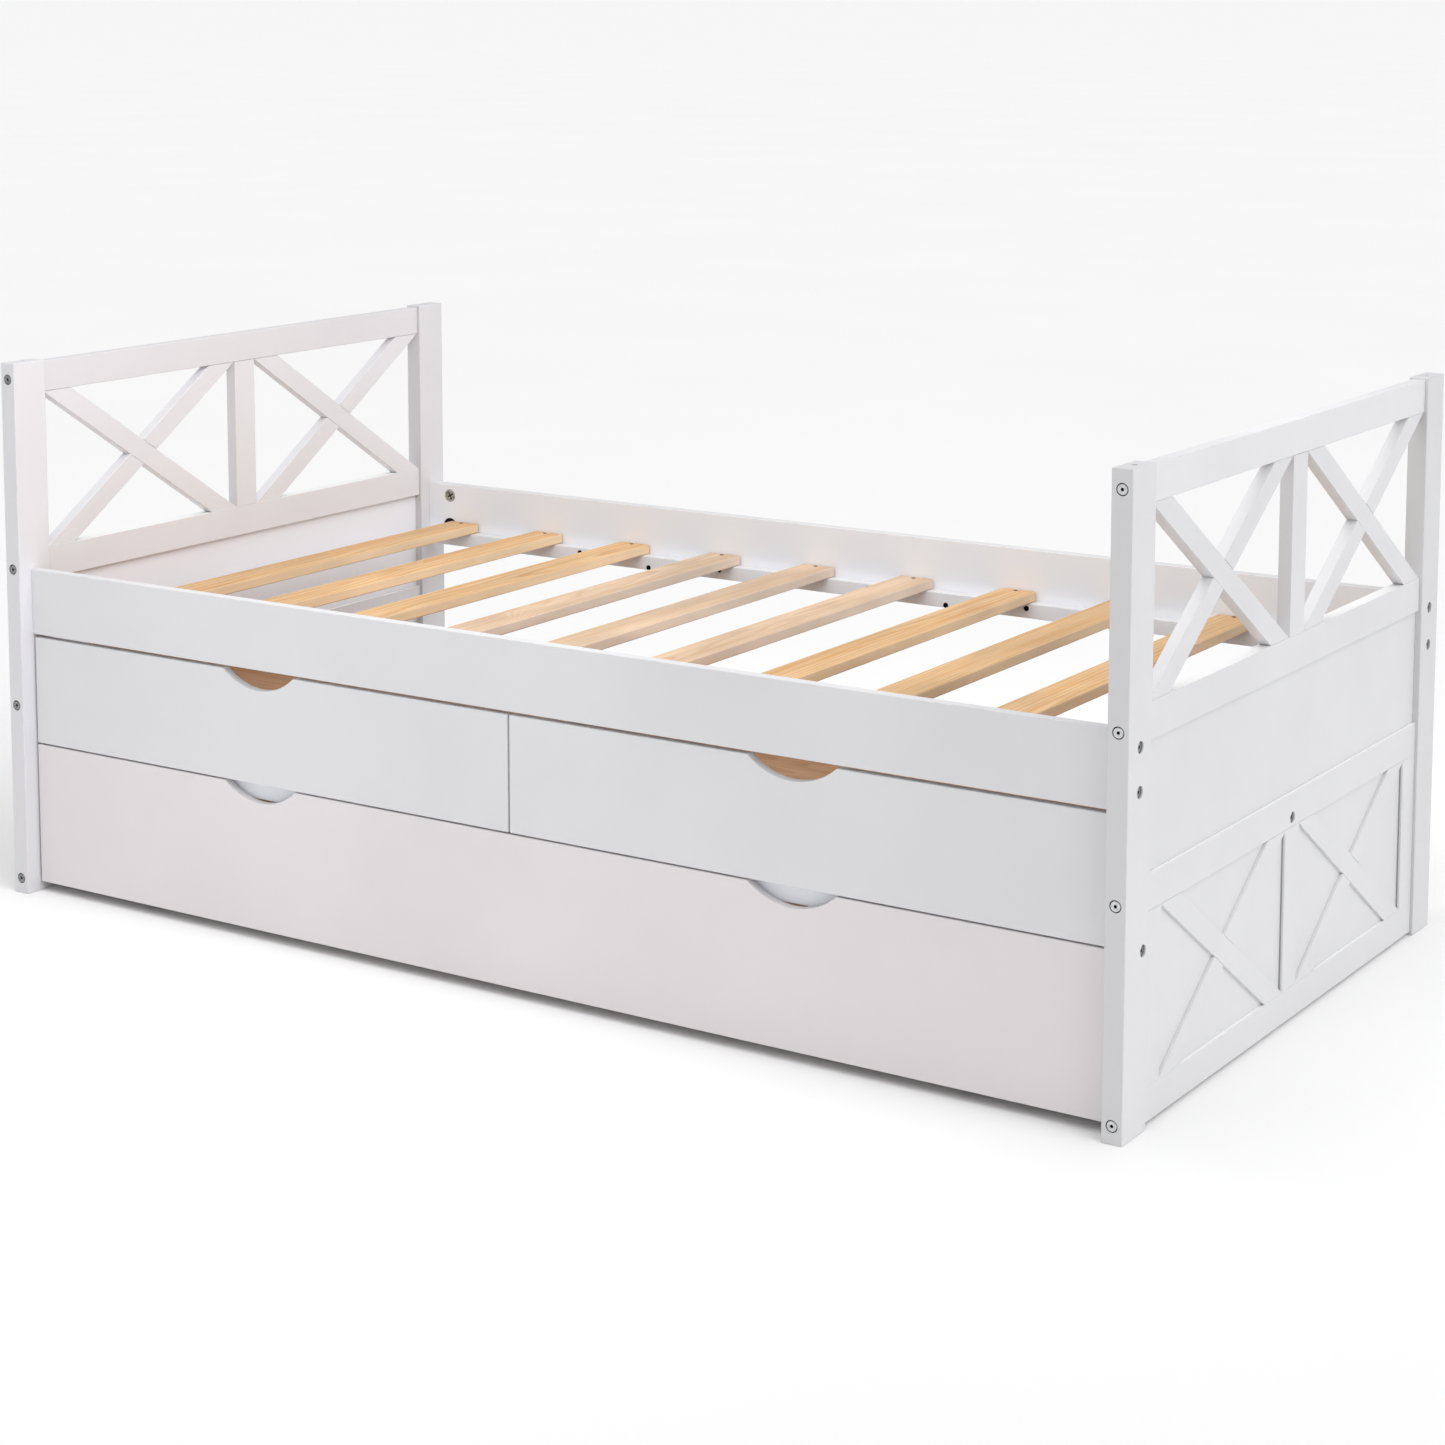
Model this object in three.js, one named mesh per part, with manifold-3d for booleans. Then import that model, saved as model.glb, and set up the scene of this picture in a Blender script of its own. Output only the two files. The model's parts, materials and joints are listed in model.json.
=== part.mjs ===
// Trundle bed: two identical end frames with cross battens, side rails with slats,
// two drawers side by side on a shelf, and a trundle on four wheels under them.
// Millimetres. +Z up, +X from the head end to the foot end, -Y is the front with the drawers.
// The origin is on the floor, in the middle of the bed.
import * as THREE from 'three';
import { mergeVertices } from 'three/addons/utils/BufferGeometryUtils.js';
import Module from 'manifold-3d';

const wasm = await Module();
wasm.setup();

// ---- Driving dimensions ----
const LENGTH = 2000;
const WIDTH = 1130;
const HEIGHT = 884;
const GAP = 0.3;                 // between pieces that touch
const OVERCUT = 1;               // how far a cutting tool runs past the face it cuts
const ROUND_SEGMENTS = 28;

const POST_THICK = 30;           // along X
const POST_WIDE = 70;            // along Y
const POST_TOP_HOLE_R = 4;
const POST_TOP_HOLE_DEEP = 18;

const FRAME_THICK = 20;          // rails and mullions of the end frames
const FRAME_SETBACK = 5;         // from the posts' outer face
const BATTEN_THICK = 18;
const UPPER_BATTEN_WIDE = 35;
const LOWER_BATTEN_WIDE = 35;
const MULLION_WIDE = 52;
const STILE_WIDE = 51;
const TOP_RAIL_Z = [831, 881];
const MID_RAIL_Z = [520, 571];
const LOW_RAIL_Z = [292, 342];
const BOTTOM_RAIL_Z = [6, 53];
const PANEL_THICK = 6;
const PANEL_DEEP = 5;            // from the rails' outer face down to the panel
const SEAM_WIDE = 0.6;           // butt seams of the low battens
const SEAM_DEEP = 1.2;
const GLUE_LAP = 1;              // overlap of pieces that are glued into one

const BOLT_HEAD_R = 8.6;         // counterbores of the bolt heads
const BOLT_HEAD_DEEP = 3;
const FACE_BOLT_Z = [857, 544, 317, 25];
const SIDE_RAIL_BOLT_Z = [520, 461];
const SHELF_RAIL_BOLT_Z = 247;
const BEAM_BOLT_Z = 305;

const SIDE_RAIL_Z = [434, 542];
const SIDE_RAIL_THICK = 18;
const SIDE_RAIL_SETBACK = 27;    // from the posts' front or back face
const NUT_HOLE_R = 8.5;          // cross holes of the barrel nuts
const NUT_HOLE_DEEP = 13;
const NUT_HOLE_FROM_END = 50;
const CLEAT_WIDE = 25;
const CLEAT_HIGH = 25;

const SLAT_COUNT = 10;
const SLAT_PITCH = 196;
const SLAT_WIDE = 64;
const SLAT_THICK = 17;
const SLAT_END_PLAY = 2;
const SLAT_DROP = 70;            // from the side rails' top edge down to the slats' top
const PALE_SLATS = [4, 5, 6];    // counted from 1 at the head end

const FRONT_THICK = 15;          // drawer and trundle fronts
const FRONT_SETBACK = 28;
const FRONT_END_PLAY = 3;
const DRAWER_FRONT_Z = [251.5, 429];
const TRUNDLE_FRONT_Z = [16, 249];
const NOTCH_WIDE = 144;          // half-moon finger notches
const NOTCH_DEEP = 28;
const NOTCH_SEGMENTS = 36;

const SHELF_RAIL_Z = [222, 270.7];
const SHELF_RAIL_THICK = 15;
const SHELF_RAIL_SETBACK = 46.5;
const SHELF_THICK = 9;
const BEAM_THICK = 20;
const BEAM_HIGH = 50;
const GUIDE_WIDE = 18;           // strip on the shelf between the two drawers
const GUIDE_HIGH = 30;

const DRAWER_SIDE_THICK = 12;
const DRAWER_SIDE_HIGH = 119;
const DRAWER_DEPTH = 498;
const DRAWER_END_CLEAR = 12;     // from the posts and from the guide strip
const DRAWER_BOTTOM_THICK = 5;
const DRAWER_BOTTOM_UP = 6;
const SLIDE_CLEAR = 0.5;

const TRAY_HALF_LENGTH = 965;
const TRAY_BACK_Y = 510;
const TRAY_Z = [24, 160];
const TRAY_SIDE_THICK = 12;
const TRAY_END_THICK = 18;
const TRAY_LEDGE_WIDE = 45;
const TRAY_LEDGE_THICK = 18;
const TRUNDLE_SLAT_COUNT = 9;
const TRUNDLE_SLAT_PITCH = 210;
const TRUNDLE_SLAT_WIDE = 60;
const TRUNDLE_SLAT_THICK = 14;
const STRAP_WIDE = 30;
const STRAP_THICK = 2;
const STRAP_Y = 250;

const WHEEL_R = 20;
const WHEEL_WIDE = 18;
const WHEEL_BORE_R = 3.4;
const WHEEL_EDGE = 3;            // bevel between the tread and the wheel's sides
const WHEEL_SEGMENTS = 48;
const AXLE_R = 3;
const AXLE_PROUD = 1;            // past each cheek of the fork
const FORK_CLEAR = 2.5;          // between the wheel and the plate over it
const CHEEK_THICK = 2.5;
const CHEEK_WIDE = 22;
const CHEEK_CLEAR = 1;
const PLATE_THICK = 2.5;
const PLATE_SIZE = [46, 40];
const CASTER_X = 750;

// ---- Derived places ----
const HALF_L = LENGTH / 2;
const HALF_W = WIDTH / 2;
const POST_IN_X = HALF_L - POST_THICK;
const POST_IN_Y = HALF_W - POST_WIDE;
const FRAME_X = [HALF_L - FRAME_SETBACK - FRAME_THICK, HALF_L - FRAME_SETBACK];
const PANEL_X = [FRAME_X[1] - PANEL_DEEP - PANEL_THICK, FRAME_X[1] - PANEL_DEEP];
const RAIL_IN_Y = HALF_W - SIDE_RAIL_SETBACK - SIDE_RAIL_THICK;
const FRONT_Y = -HALF_W + FRONT_SETBACK;
const FRONT_BACK_Y = FRONT_Y + FRONT_THICK;
const SHELF_RAIL_Y = [-HALF_W + SHELF_RAIL_SETBACK, -HALF_W + SHELF_RAIL_SETBACK + SHELF_RAIL_THICK];
const SHELF_Z = [SHELF_RAIL_Z[1] + GAP, SHELF_RAIL_Z[1] + GAP + SHELF_THICK];
const SHELF_TOP = SHELF_Z[1];
const SLAT_TOP = SIDE_RAIL_Z[1] - SLAT_DROP;
const LEDGE_BOTTOM = 2 * WHEEL_R + FORK_CLEAR + PLATE_THICK;
const LEDGE_Z = [LEDGE_BOTTOM, LEDGE_BOTTOM + TRAY_LEDGE_THICK];

// ---- Materials ----
const paint = (color) => new THREE.MeshStandardMaterial({ color, roughness: 0.42, metalness: 0 });
const wood = (color) => new THREE.MeshStandardMaterial({ color, roughness: 0.6, metalness: 0 });
const WHITE = paint(0xeeeef0);
const PINE = wood(0xe3b878);
const PALE_PINE = wood(0xdcbb93);
const PLYWOOD = wood(0xd29a66);
const STEEL = new THREE.MeshStandardMaterial({ color: 0xb4b7ba, roughness: 0.35, metalness: 1 });
const TYRE = new THREE.MeshStandardMaterial({ color: 0x2b2c2e, roughness: 0.7, metalness: 0 });

// ---- Solids ----
const block = ([x0, x1], [y0, y1], [z0, z1]) =>
  new THREE.BoxGeometry(x1 - x0, y1 - y0, z1 - z0)
    .translate((x0 + x1) / 2, (y0 + y1) / 2, (z0 + z1) / 2);

function solid(geometry) {
  const bare = geometry.index ? geometry.toNonIndexed() : geometry.clone();
  bare.deleteAttribute('normal');
  bare.deleteAttribute('uv');
  const merged = mergeVertices(bare, 1e-4);
  return new wasm.Manifold(new wasm.Mesh({
    numProp: 3,
    vertProperties: merged.attributes.position.array,
    triVerts: new Uint32Array(merged.index.array),
  }));
}

function geometryOf(manifold) {
  const mesh = manifold.getMesh();
  const geometry = new THREE.BufferGeometry();
  geometry.setAttribute('position', new THREE.BufferAttribute(mesh.vertProperties, 3));
  geometry.setIndex(new THREE.BufferAttribute(mesh.triVerts, 1));
  return geometry;
}

const cut = (body, ...tools) => tools.reduce((rest, tool) => rest.subtract(tool), body);
const join = (...bodies) => bodies.reduce((sum, body) => sum.add(body));

function piece(name, shape, material) {
  const geometry = shape.isBufferGeometry ? shape : geometryOf(shape);
  const mesh = new THREE.Mesh(geometry, material);
  mesh.name = name;
  return mesh;
}

// A round pin or hole tool along X, Y or Z, centred on a point.
function rod(axis, radius, length, [x, y, z]) {
  const geometry = new THREE.CylinderGeometry(radius, radius, length, ROUND_SEGMENTS);
  if (axis === 'x') geometry.rotateZ(Math.PI / 2);
  if (axis === 'z') geometry.rotateX(Math.PI / 2);
  return geometry.translate(x, y, z);
}

// ---- End frames, built at the foot end ----
function post(side, name, carriesShelfRail) {
  const outer = side * HALF_W;
  const middleX = HALF_L - POST_THICK / 2;
  const body = solid(block([POST_IN_X, HALF_L], [Math.min(outer, side * POST_IN_Y),
    Math.max(outer, side * POST_IN_Y)], [0, HEIGHT]));
  const faceBores = FACE_BOLT_Z.map((z) =>
    solid(rod('y', BOLT_HEAD_R, 2 * BOLT_HEAD_DEEP, [middleX, outer, z])));
  const railY = side * (HALF_W - SIDE_RAIL_SETBACK - SIDE_RAIL_THICK / 2);
  const sideBores = SIDE_RAIL_BOLT_Z.map((z) =>
    solid(rod('x', BOLT_HEAD_R, 2 * BOLT_HEAD_DEEP, [HALF_L, railY, z])));
  const shelfRailY = side * (HALF_W - SHELF_RAIL_SETBACK - SHELF_RAIL_THICK / 2);
  const shelfBores = carriesShelfRail
    ? [solid(rod('x', BOLT_HEAD_R, 2 * BOLT_HEAD_DEEP, [HALF_L, shelfRailY, SHELF_RAIL_BOLT_Z]))]
    : [];
  const topHole = solid(rod('z', POST_TOP_HOLE_R, 2 * POST_TOP_HOLE_DEEP,
    [middleX, side * (HALF_W - POST_WIDE / 2), HEIGHT]));
  return piece(name, cut(body, ...faceBores, ...sideBores, ...shelfBores, topHole), WHITE);
}

// A rail of the end frame, between the two posts.
function endRail(name, zRange) {
  return piece(name, block(FRAME_X, [-POST_IN_Y + GAP, POST_IN_Y - GAP], zRange), WHITE);
}

// Batten angle at which its two edges pass through opposite corners of the field.
function battenAngle(fieldWide, fieldHigh, battenWide) {
  return Math.atan2(fieldHigh, fieldWide) + Math.asin(battenWide / Math.hypot(fieldWide, fieldHigh));
}

// A straight bar across the field's centre. turn is -1 for a batten that falls towards +Y,
// and 1 for one that rises; shift moves it sideways, across its length.
function bar([x0, x1], field, angle, turn, wide, shift = 0) {
  const length = 2 * Math.hypot(field.y[1] - field.y[0], field.z[1] - field.z[0]);
  return solid(new THREE.BoxGeometry(x1 - x0, length, wide)
    .translate(0, 0, shift)
    .rotateX(turn * angle)
    .translate((x0 + x1) / 2, (field.y[0] + field.y[1]) / 2, (field.z[0] + field.z[1]) / 2));
}

function fieldAngle(field, wide) {
  return battenAngle(field.y[1] - field.y[0], field.z[1] - field.z[0], wide);
}

// Two battens halved into each other where they cross: the falling one runs through on
// the outer face, the rising one on the inner face.
function crossBattens(prefix, field) {
  const middle = (FRAME_X[0] + FRAME_X[1]) / 2;
  const thick = [middle - BATTEN_THICK / 2, middle + BATTEN_THICK / 2];
  const angle = fieldAngle(field, UPPER_BATTEN_WIDE);
  const room = solid(block(thick, field.y, field.z));
  const falling = bar(thick, field, angle, -1, UPPER_BATTEN_WIDE).intersect(room);
  const rising = bar(thick, field, angle, 1, UPPER_BATTEN_WIDE).intersect(room);
  const lapWide = UPPER_BATTEN_WIDE + 2 * GAP;
  const innerHalf = [thick[0] - OVERCUT, middle + GAP / 2];
  const outerHalf = [middle - GAP / 2, thick[1] + OVERCUT];
  const fallingLapped = cut(falling, bar(innerHalf, field, angle, 1, lapWide));
  const risingLapped = cut(rising, bar(outerHalf, field, angle, -1, lapWide));
  return [
    piece(`${prefix}_falling_batten`, fallingLapped, WHITE),
    piece(`${prefix}_rising_batten`, risingLapped, WHITE),
  ];
}

// Low battens on the panel: the falling one is whole, the rising one butts against it in two
// halves, and a fine seam is left at each butt. Their edges run into the corners with a glue lap.
function lowCross(field, relief) {
  const angle = fieldAngle(field, LOWER_BATTEN_WIDE - 2 * GLUE_LAP);
  const room = solid(block(relief, [field.y[0] - GLUE_LAP, field.y[1] + GLUE_LAP], field.z));
  const falling = bar(relief, field, angle, -1, LOWER_BATTEN_WIDE).intersect(room);
  const rising = bar(relief, field, angle, 1, LOWER_BATTEN_WIDE).intersect(room);
  const seamX = [relief[1] - SEAM_DEEP, relief[1] + OVERCUT];
  const seams = [-1, 1].map((edge) =>
    bar(seamX, field, angle, -1, SEAM_WIDE, edge * LOWER_BATTEN_WIDE / 2).intersect(
      bar(seamX, field, angle, 1, LOWER_BATTEN_WIDE + 2 * GLUE_LAP)));
  return { battens: falling.add(rising), seams: join(...seams) };
}

function upperPanel(name) {
  return piece(name, block(PANEL_X, [-POST_IN_Y + GAP, POST_IN_Y - GAP],
    [LOW_RAIL_Z[1] + GAP, MID_RAIL_Z[0] - GAP]), WHITE);
}

// The lower panel with its stiles, middle strip and low battens, as one glued-up piece.
function lowerPanel(name) {
  const z = [BOTTOM_RAIL_Z[1] + GAP, LOW_RAIL_Z[0] - GAP];
  const y = [-POST_IN_Y + GAP, POST_IN_Y - GAP];
  const relief = [PANEL_X[1] - GLUE_LAP, FRAME_X[1]];
  const board = solid(block(PANEL_X, y, z));
  const strips = [
    solid(block(relief, [y[0], -POST_IN_Y + STILE_WIDE], z)),
    solid(block(relief, [POST_IN_Y - STILE_WIDE, y[1]], z)),
    solid(block(relief, [-MULLION_WIDE / 2, MULLION_WIDE / 2], z)),
  ];
  const fields = [
    { y: [-POST_IN_Y + STILE_WIDE, -MULLION_WIDE / 2], z },
    { y: [MULLION_WIDE / 2, POST_IN_Y - STILE_WIDE], z },
  ];
  const crosses = fields.map((field) => lowCross(field, relief));
  const whole = join(board, ...strips, ...crosses.map((cross) => cross.battens));
  return piece(name, cut(whole, ...crosses.map((cross) => cross.seams)), WHITE);
}

function lowRail(name) {
  const body = solid(block(FRAME_X, [-POST_IN_Y + GAP, POST_IN_Y - GAP], LOW_RAIL_Z));
  const bore = solid(rod('x', BOLT_HEAD_R, 2 * BOLT_HEAD_DEEP, [FRAME_X[1], 0, BEAM_BOLT_Z]));
  return piece(name, cut(body, bore), WHITE);
}

// sides names the posts at -Y and at +Y of the frame as built at the foot end.
function endFrame(end, sides) {
  const frame = new THREE.Group();
  [-1, 1].forEach((side, i) => {
    frame.add(post(side, `${end}_${sides[i]}_post`, sides[i] === 'front'));
    const field = {
      y: side < 0 ? [-POST_IN_Y + GAP, -MULLION_WIDE / 2 - GAP] : [MULLION_WIDE / 2 + GAP, POST_IN_Y - GAP],
      z: [MID_RAIL_Z[1] + GAP, TOP_RAIL_Z[0] - GAP],
    };
    frame.add(...crossBattens(`${end}_${sides[i]}`, field));
  });
  frame.add(endRail(`${end}_top_rail`, TOP_RAIL_Z));
  frame.add(endRail(`${end}_mid_rail`, MID_RAIL_Z));
  frame.add(lowRail(`${end}_low_rail`));
  frame.add(endRail(`${end}_bottom_rail`, BOTTOM_RAIL_Z));
  frame.add(upperPanel(`${end}_upper_panel`));
  frame.add(lowerPanel(`${end}_lower_panel`));
  frame.add(piece(`${end}_mullion`, block(FRAME_X, [-MULLION_WIDE / 2, MULLION_WIDE / 2],
    [MID_RAIL_Z[1] + GAP, TOP_RAIL_Z[0] - GAP]), WHITE));
  return frame;
}

// ---- Side rails, cleats and slats ----
function sideRail(side, name) {
  const x = [-POST_IN_X + GAP, POST_IN_X - GAP];
  const outer = side * (HALF_W - SIDE_RAIL_SETBACK);
  const inner = side * RAIL_IN_Y;
  const body = solid(block(x, [Math.min(outer, inner), Math.max(outer, inner)], SIDE_RAIL_Z));
  const bores = [];
  for (const end of [-1, 1]) {
    for (const z of SIDE_RAIL_BOLT_Z) {
      bores.push(solid(rod('y', NUT_HOLE_R, 2 * NUT_HOLE_DEEP,
        [end * (POST_IN_X - NUT_HOLE_FROM_END), inner, z])));
    }
  }
  return piece(name, cut(body, ...bores), WHITE);
}

function cleat(side, name) {
  const outer = side * (RAIL_IN_Y - GAP);
  const inner = side * (RAIL_IN_Y - GAP - CLEAT_WIDE);
  const top = SLAT_TOP - SLAT_THICK - GAP;
  return piece(name, block([-POST_IN_X + GAP, POST_IN_X - GAP],
    [Math.min(outer, inner), Math.max(outer, inner)], [top - CLEAT_HIGH, top]), WHITE);
}

function slat(index) {
  const x = (index - (SLAT_COUNT - 1) / 2) * SLAT_PITCH;
  const reach = RAIL_IN_Y - SLAT_END_PLAY;
  const material = PALE_SLATS.includes(index + 1) ? PALE_PINE : PINE;
  return piece(`slat_${index + 1}`, block([x - SLAT_WIDE / 2, x + SLAT_WIDE / 2],
    [-reach, reach], [SLAT_TOP - SLAT_THICK, SLAT_TOP]), material);
}

// ---- Drawer shelf ----
function shelfParts() {
  const x = [-POST_IN_X + GAP, POST_IN_X - GAP];
  const rail = piece('shelf_front_rail', block(x, SHELF_RAIL_Y, SHELF_RAIL_Z), WHITE);
  const beam = piece('centre_beam', block([-FRAME_X[0] + GAP, FRAME_X[0] - GAP],
    [-BEAM_THICK / 2, BEAM_THICK / 2], [SHELF_TOP + GAP, SHELF_TOP + GAP + BEAM_HIGH]), WHITE);
  const board = solid(block(x, [SHELF_RAIL_Y[0], BEAM_THICK / 2], SHELF_Z));
  const guide = solid(block([-GUIDE_WIDE / 2, GUIDE_WIDE / 2],
    [SHELF_RAIL_Y[0], -BEAM_THICK / 2 - GAP], [SHELF_TOP - GLUE_LAP, SHELF_TOP + GUIDE_HIGH]));
  return [rail, beam, piece('drawer_shelf', join(board, guide), PLYWOOD)];
}

// ---- Drawers and trundle ----
// Outline of a front board in X and Z, with half-moon notches in its top edge.
function frontBoard([x0, x1], [z0, z1], notches) {
  const halfWide = NOTCH_WIDE / 2;
  const radius = (halfWide ** 2 + NOTCH_DEEP ** 2) / (2 * NOTCH_DEEP);
  const sweep = Math.asin(halfWide / radius);
  const outline = new THREE.Shape();
  outline.moveTo(x0, z0);
  outline.lineTo(x0, z1);
  for (const middle of notches) {
    outline.lineTo(middle - halfWide, z1);
    outline.absarc(middle, z1 + radius - NOTCH_DEEP, radius,
      -Math.PI / 2 - sweep, -Math.PI / 2 + sweep, false);
  }
  outline.lineTo(x1, z1);
  outline.lineTo(x1, z0);
  outline.closePath();
  const settings = { depth: FRONT_THICK, bevelEnabled: false, curveSegments: NOTCH_SEGMENTS };
  return new THREE.ExtrudeGeometry(outline, settings)
    .rotateX(Math.PI / 2)
    .translate(0, FRONT_BACK_Y, 0);
}

// side is -1 for the drawer at the head end and 1 for the one at the foot end.
function drawer(side, name) {
  const far = POST_IN_X - FRONT_END_PLAY;
  const near = FRONT_END_PLAY / 2;
  const frontX = side < 0 ? [-far, -near] : [near, far];
  const front = frontBoard(frontX, DRAWER_FRONT_Z, [side * (far + near) / 2]);
  const boxFar = POST_IN_X - DRAWER_END_CLEAR;
  const boxNear = GUIDE_WIDE / 2 + DRAWER_END_CLEAR / 2;
  const x = side < 0 ? [-boxFar, -boxNear] : [boxNear, boxFar];
  const y = [FRONT_BACK_Y + GAP, FRONT_BACK_Y + DRAWER_DEPTH];
  const z = [SHELF_TOP + SLIDE_CLEAR, SHELF_TOP + SLIDE_CLEAR + DRAWER_SIDE_HIGH];
  const t = DRAWER_SIDE_THICK;
  const inside = solid(block([x[0] + t, x[1] - t], [y[0] - OVERCUT, y[1] - t],
    [z[0] - OVERCUT, z[1] + OVERCUT]));
  const box = cut(solid(block(x, y, z)), inside);
  const bottom = block([x[0] + t + GAP, x[1] - t - GAP], [y[0], y[1] - t - GAP],
    [z[0] + DRAWER_BOTTOM_UP, z[0] + DRAWER_BOTTOM_UP + DRAWER_BOTTOM_THICK]);
  return [
    piece(`${name}_front`, front, WHITE),
    piece(`${name}_box`, box, PLYWOOD),
    piece(`${name}_bottom`, bottom, PLYWOOD),
  ];
}

function trundleTray() {
  const x = [-TRAY_HALF_LENGTH, TRAY_HALF_LENGTH];
  const y = [FRONT_BACK_Y + GAP, TRAY_BACK_Y];
  const inX = [x[0] + TRAY_SIDE_THICK, x[1] - TRAY_SIDE_THICK];
  const inY = [y[0] + TRAY_END_THICK, y[1] - TRAY_END_THICK];
  const inside = solid(block(inX, inY, [TRAY_Z[0] - OVERCUT, TRAY_Z[1] + OVERCUT]));
  const ring = cut(solid(block(x, y, TRAY_Z)), inside);
  const ledgeX = [inX[0] - GLUE_LAP, inX[1] + GLUE_LAP];
  const frontLedge = solid(block(ledgeX, [inY[0] - GLUE_LAP, inY[0] + TRAY_LEDGE_WIDE], LEDGE_Z));
  const backLedge = solid(block(ledgeX, [inY[1] - TRAY_LEDGE_WIDE, inY[1] + GLUE_LAP], LEDGE_Z));
  return piece('trundle_tray', join(ring, frontLedge, backLedge), WHITE);
}

// Loose slats held at their spacing by two webbing straps under them.
function trundleSlatMat() {
  const reachX = (TRUNDLE_SLAT_COUNT - 1) / 2 * TRUNDLE_SLAT_PITCH;
  const y = [FRONT_BACK_Y + TRAY_END_THICK + SLAT_END_PLAY, TRAY_BACK_Y - TRAY_END_THICK - SLAT_END_PLAY];
  const z = [LEDGE_Z[1] + GAP, LEDGE_Z[1] + GAP + TRUNDLE_SLAT_THICK];
  const bodies = [];
  for (let i = 0; i < TRUNDLE_SLAT_COUNT; i += 1) {
    const x = i * TRUNDLE_SLAT_PITCH - reachX;
    bodies.push(solid(block([x - TRUNDLE_SLAT_WIDE / 2, x + TRUNDLE_SLAT_WIDE / 2], y, z)));
  }
  for (const strapY of [-STRAP_Y, STRAP_Y]) {
    bodies.push(solid(block([-reachX - STRAP_WIDE, reachX + STRAP_WIDE],
      [strapY - STRAP_WIDE / 2, strapY + STRAP_WIDE / 2], [z[0] - STRAP_THICK / 2, z[0] + STRAP_THICK / 2])));
  }
  return piece('trundle_slat_mat', join(...bodies), PINE);
}

function trundleFront() {
  const far = POST_IN_X - FRONT_END_PLAY;
  const near = FRONT_END_PLAY / 2;
  const notch = (far + near) / 2;
  return piece('trundle_front', frontBoard([-far, far], TRUNDLE_FRONT_Z, [-notch, notch]), WHITE);
}

// Fixed caster: a plate under the ledge, two cheeks and the axle in one riveted piece.
function casterFork(name, x, y) {
  const top = LEDGE_Z[0] - GAP;
  const plate = solid(block([x - PLATE_SIZE[0] / 2, x + PLATE_SIZE[0] / 2],
    [y - PLATE_SIZE[1] / 2, y + PLATE_SIZE[1] / 2], [top - PLATE_THICK, top]));
  const cheeks = [-1, 1].map((side) => {
    const near = WHEEL_WIDE / 2 + CHEEK_CLEAR;
    const middle = x + side * (near + CHEEK_THICK / 2);
    return solid(block([middle - CHEEK_THICK / 2, middle + CHEEK_THICK / 2],
      [y - CHEEK_WIDE / 2, y + CHEEK_WIDE / 2], [WHEEL_R - CHEEK_WIDE / 2, top - PLATE_THICK / 2]));
  });
  const axleLength = WHEEL_WIDE + 2 * (CHEEK_CLEAR + CHEEK_THICK + AXLE_PROUD);
  const axle = solid(rod('x', AXLE_R, axleLength, [x, y, WHEEL_R]));
  return piece(name, join(plate, ...cheeks, axle), STEEL);
}

// The wheel's section runs round its axle, which lies along X.
function wheel(name, x, y) {
  const half = WHEEL_WIDE / 2;
  const section = [
    [WHEEL_BORE_R, -half], [WHEEL_R - WHEEL_EDGE, -half], [WHEEL_R, -half + WHEEL_EDGE],
    [WHEEL_R, half - WHEEL_EDGE], [WHEEL_R - WHEEL_EDGE, half], [WHEEL_BORE_R, half], [WHEEL_BORE_R, -half],
  ].map(([r, h]) => new THREE.Vector2(r, h));
  const geometry = new THREE.LatheGeometry(section, WHEEL_SEGMENTS);
  geometry.rotateZ(-Math.PI / 2);
  const mesh = piece(name, geometryOf(solid(geometry)), TYRE);
  mesh.position.set(x, y, WHEEL_R);
  return mesh;
}

function casters() {
  const parts = [];
  const frontY = FRONT_BACK_Y + GAP + TRAY_END_THICK + TRAY_LEDGE_WIDE / 2;
  const backY = TRAY_BACK_Y - TRAY_END_THICK - TRAY_LEDGE_WIDE / 2;
  for (const [endName, x] of [['head', -CASTER_X], ['foot', CASTER_X]]) {
    for (const [sideName, y] of [['front', frontY], ['back', backY]]) {
      parts.push(casterFork(`${endName}_${sideName}_caster_fork`, x, y));
      parts.push(wheel(`${endName}_${sideName}_wheel`, x, y));
    }
  }
  return parts;
}

// ---- Assembly ----
const bed = new THREE.Group();
const footEnd = endFrame('foot', ['front', 'back']);
const headEnd = endFrame('head', ['back', 'front']);
headEnd.rotation.z = Math.PI;
bed.add(footEnd, headEnd);
bed.add(sideRail(-1, 'front_side_rail'), sideRail(1, 'back_side_rail'));
bed.add(cleat(-1, 'front_slat_cleat'), cleat(1, 'back_slat_cleat'));
for (let i = 0; i < SLAT_COUNT; i += 1) bed.add(slat(i));
bed.add(...shelfParts());
bed.add(...drawer(-1, 'left_drawer'), ...drawer(1, 'right_drawer'));
bed.add(trundleFront(), trundleTray(), trundleSlatMat());
bed.add(...casters());

export default bed;
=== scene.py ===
"""Trundle bed: white painted end frames and fronts, bare pine slats, plywood drawers and a trundle
on casters. Metres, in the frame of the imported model. -Y is the front, the foot end is at +X."""

import json
import math

import bmesh
import bpy
from mathutils import Matrix, Vector


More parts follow.
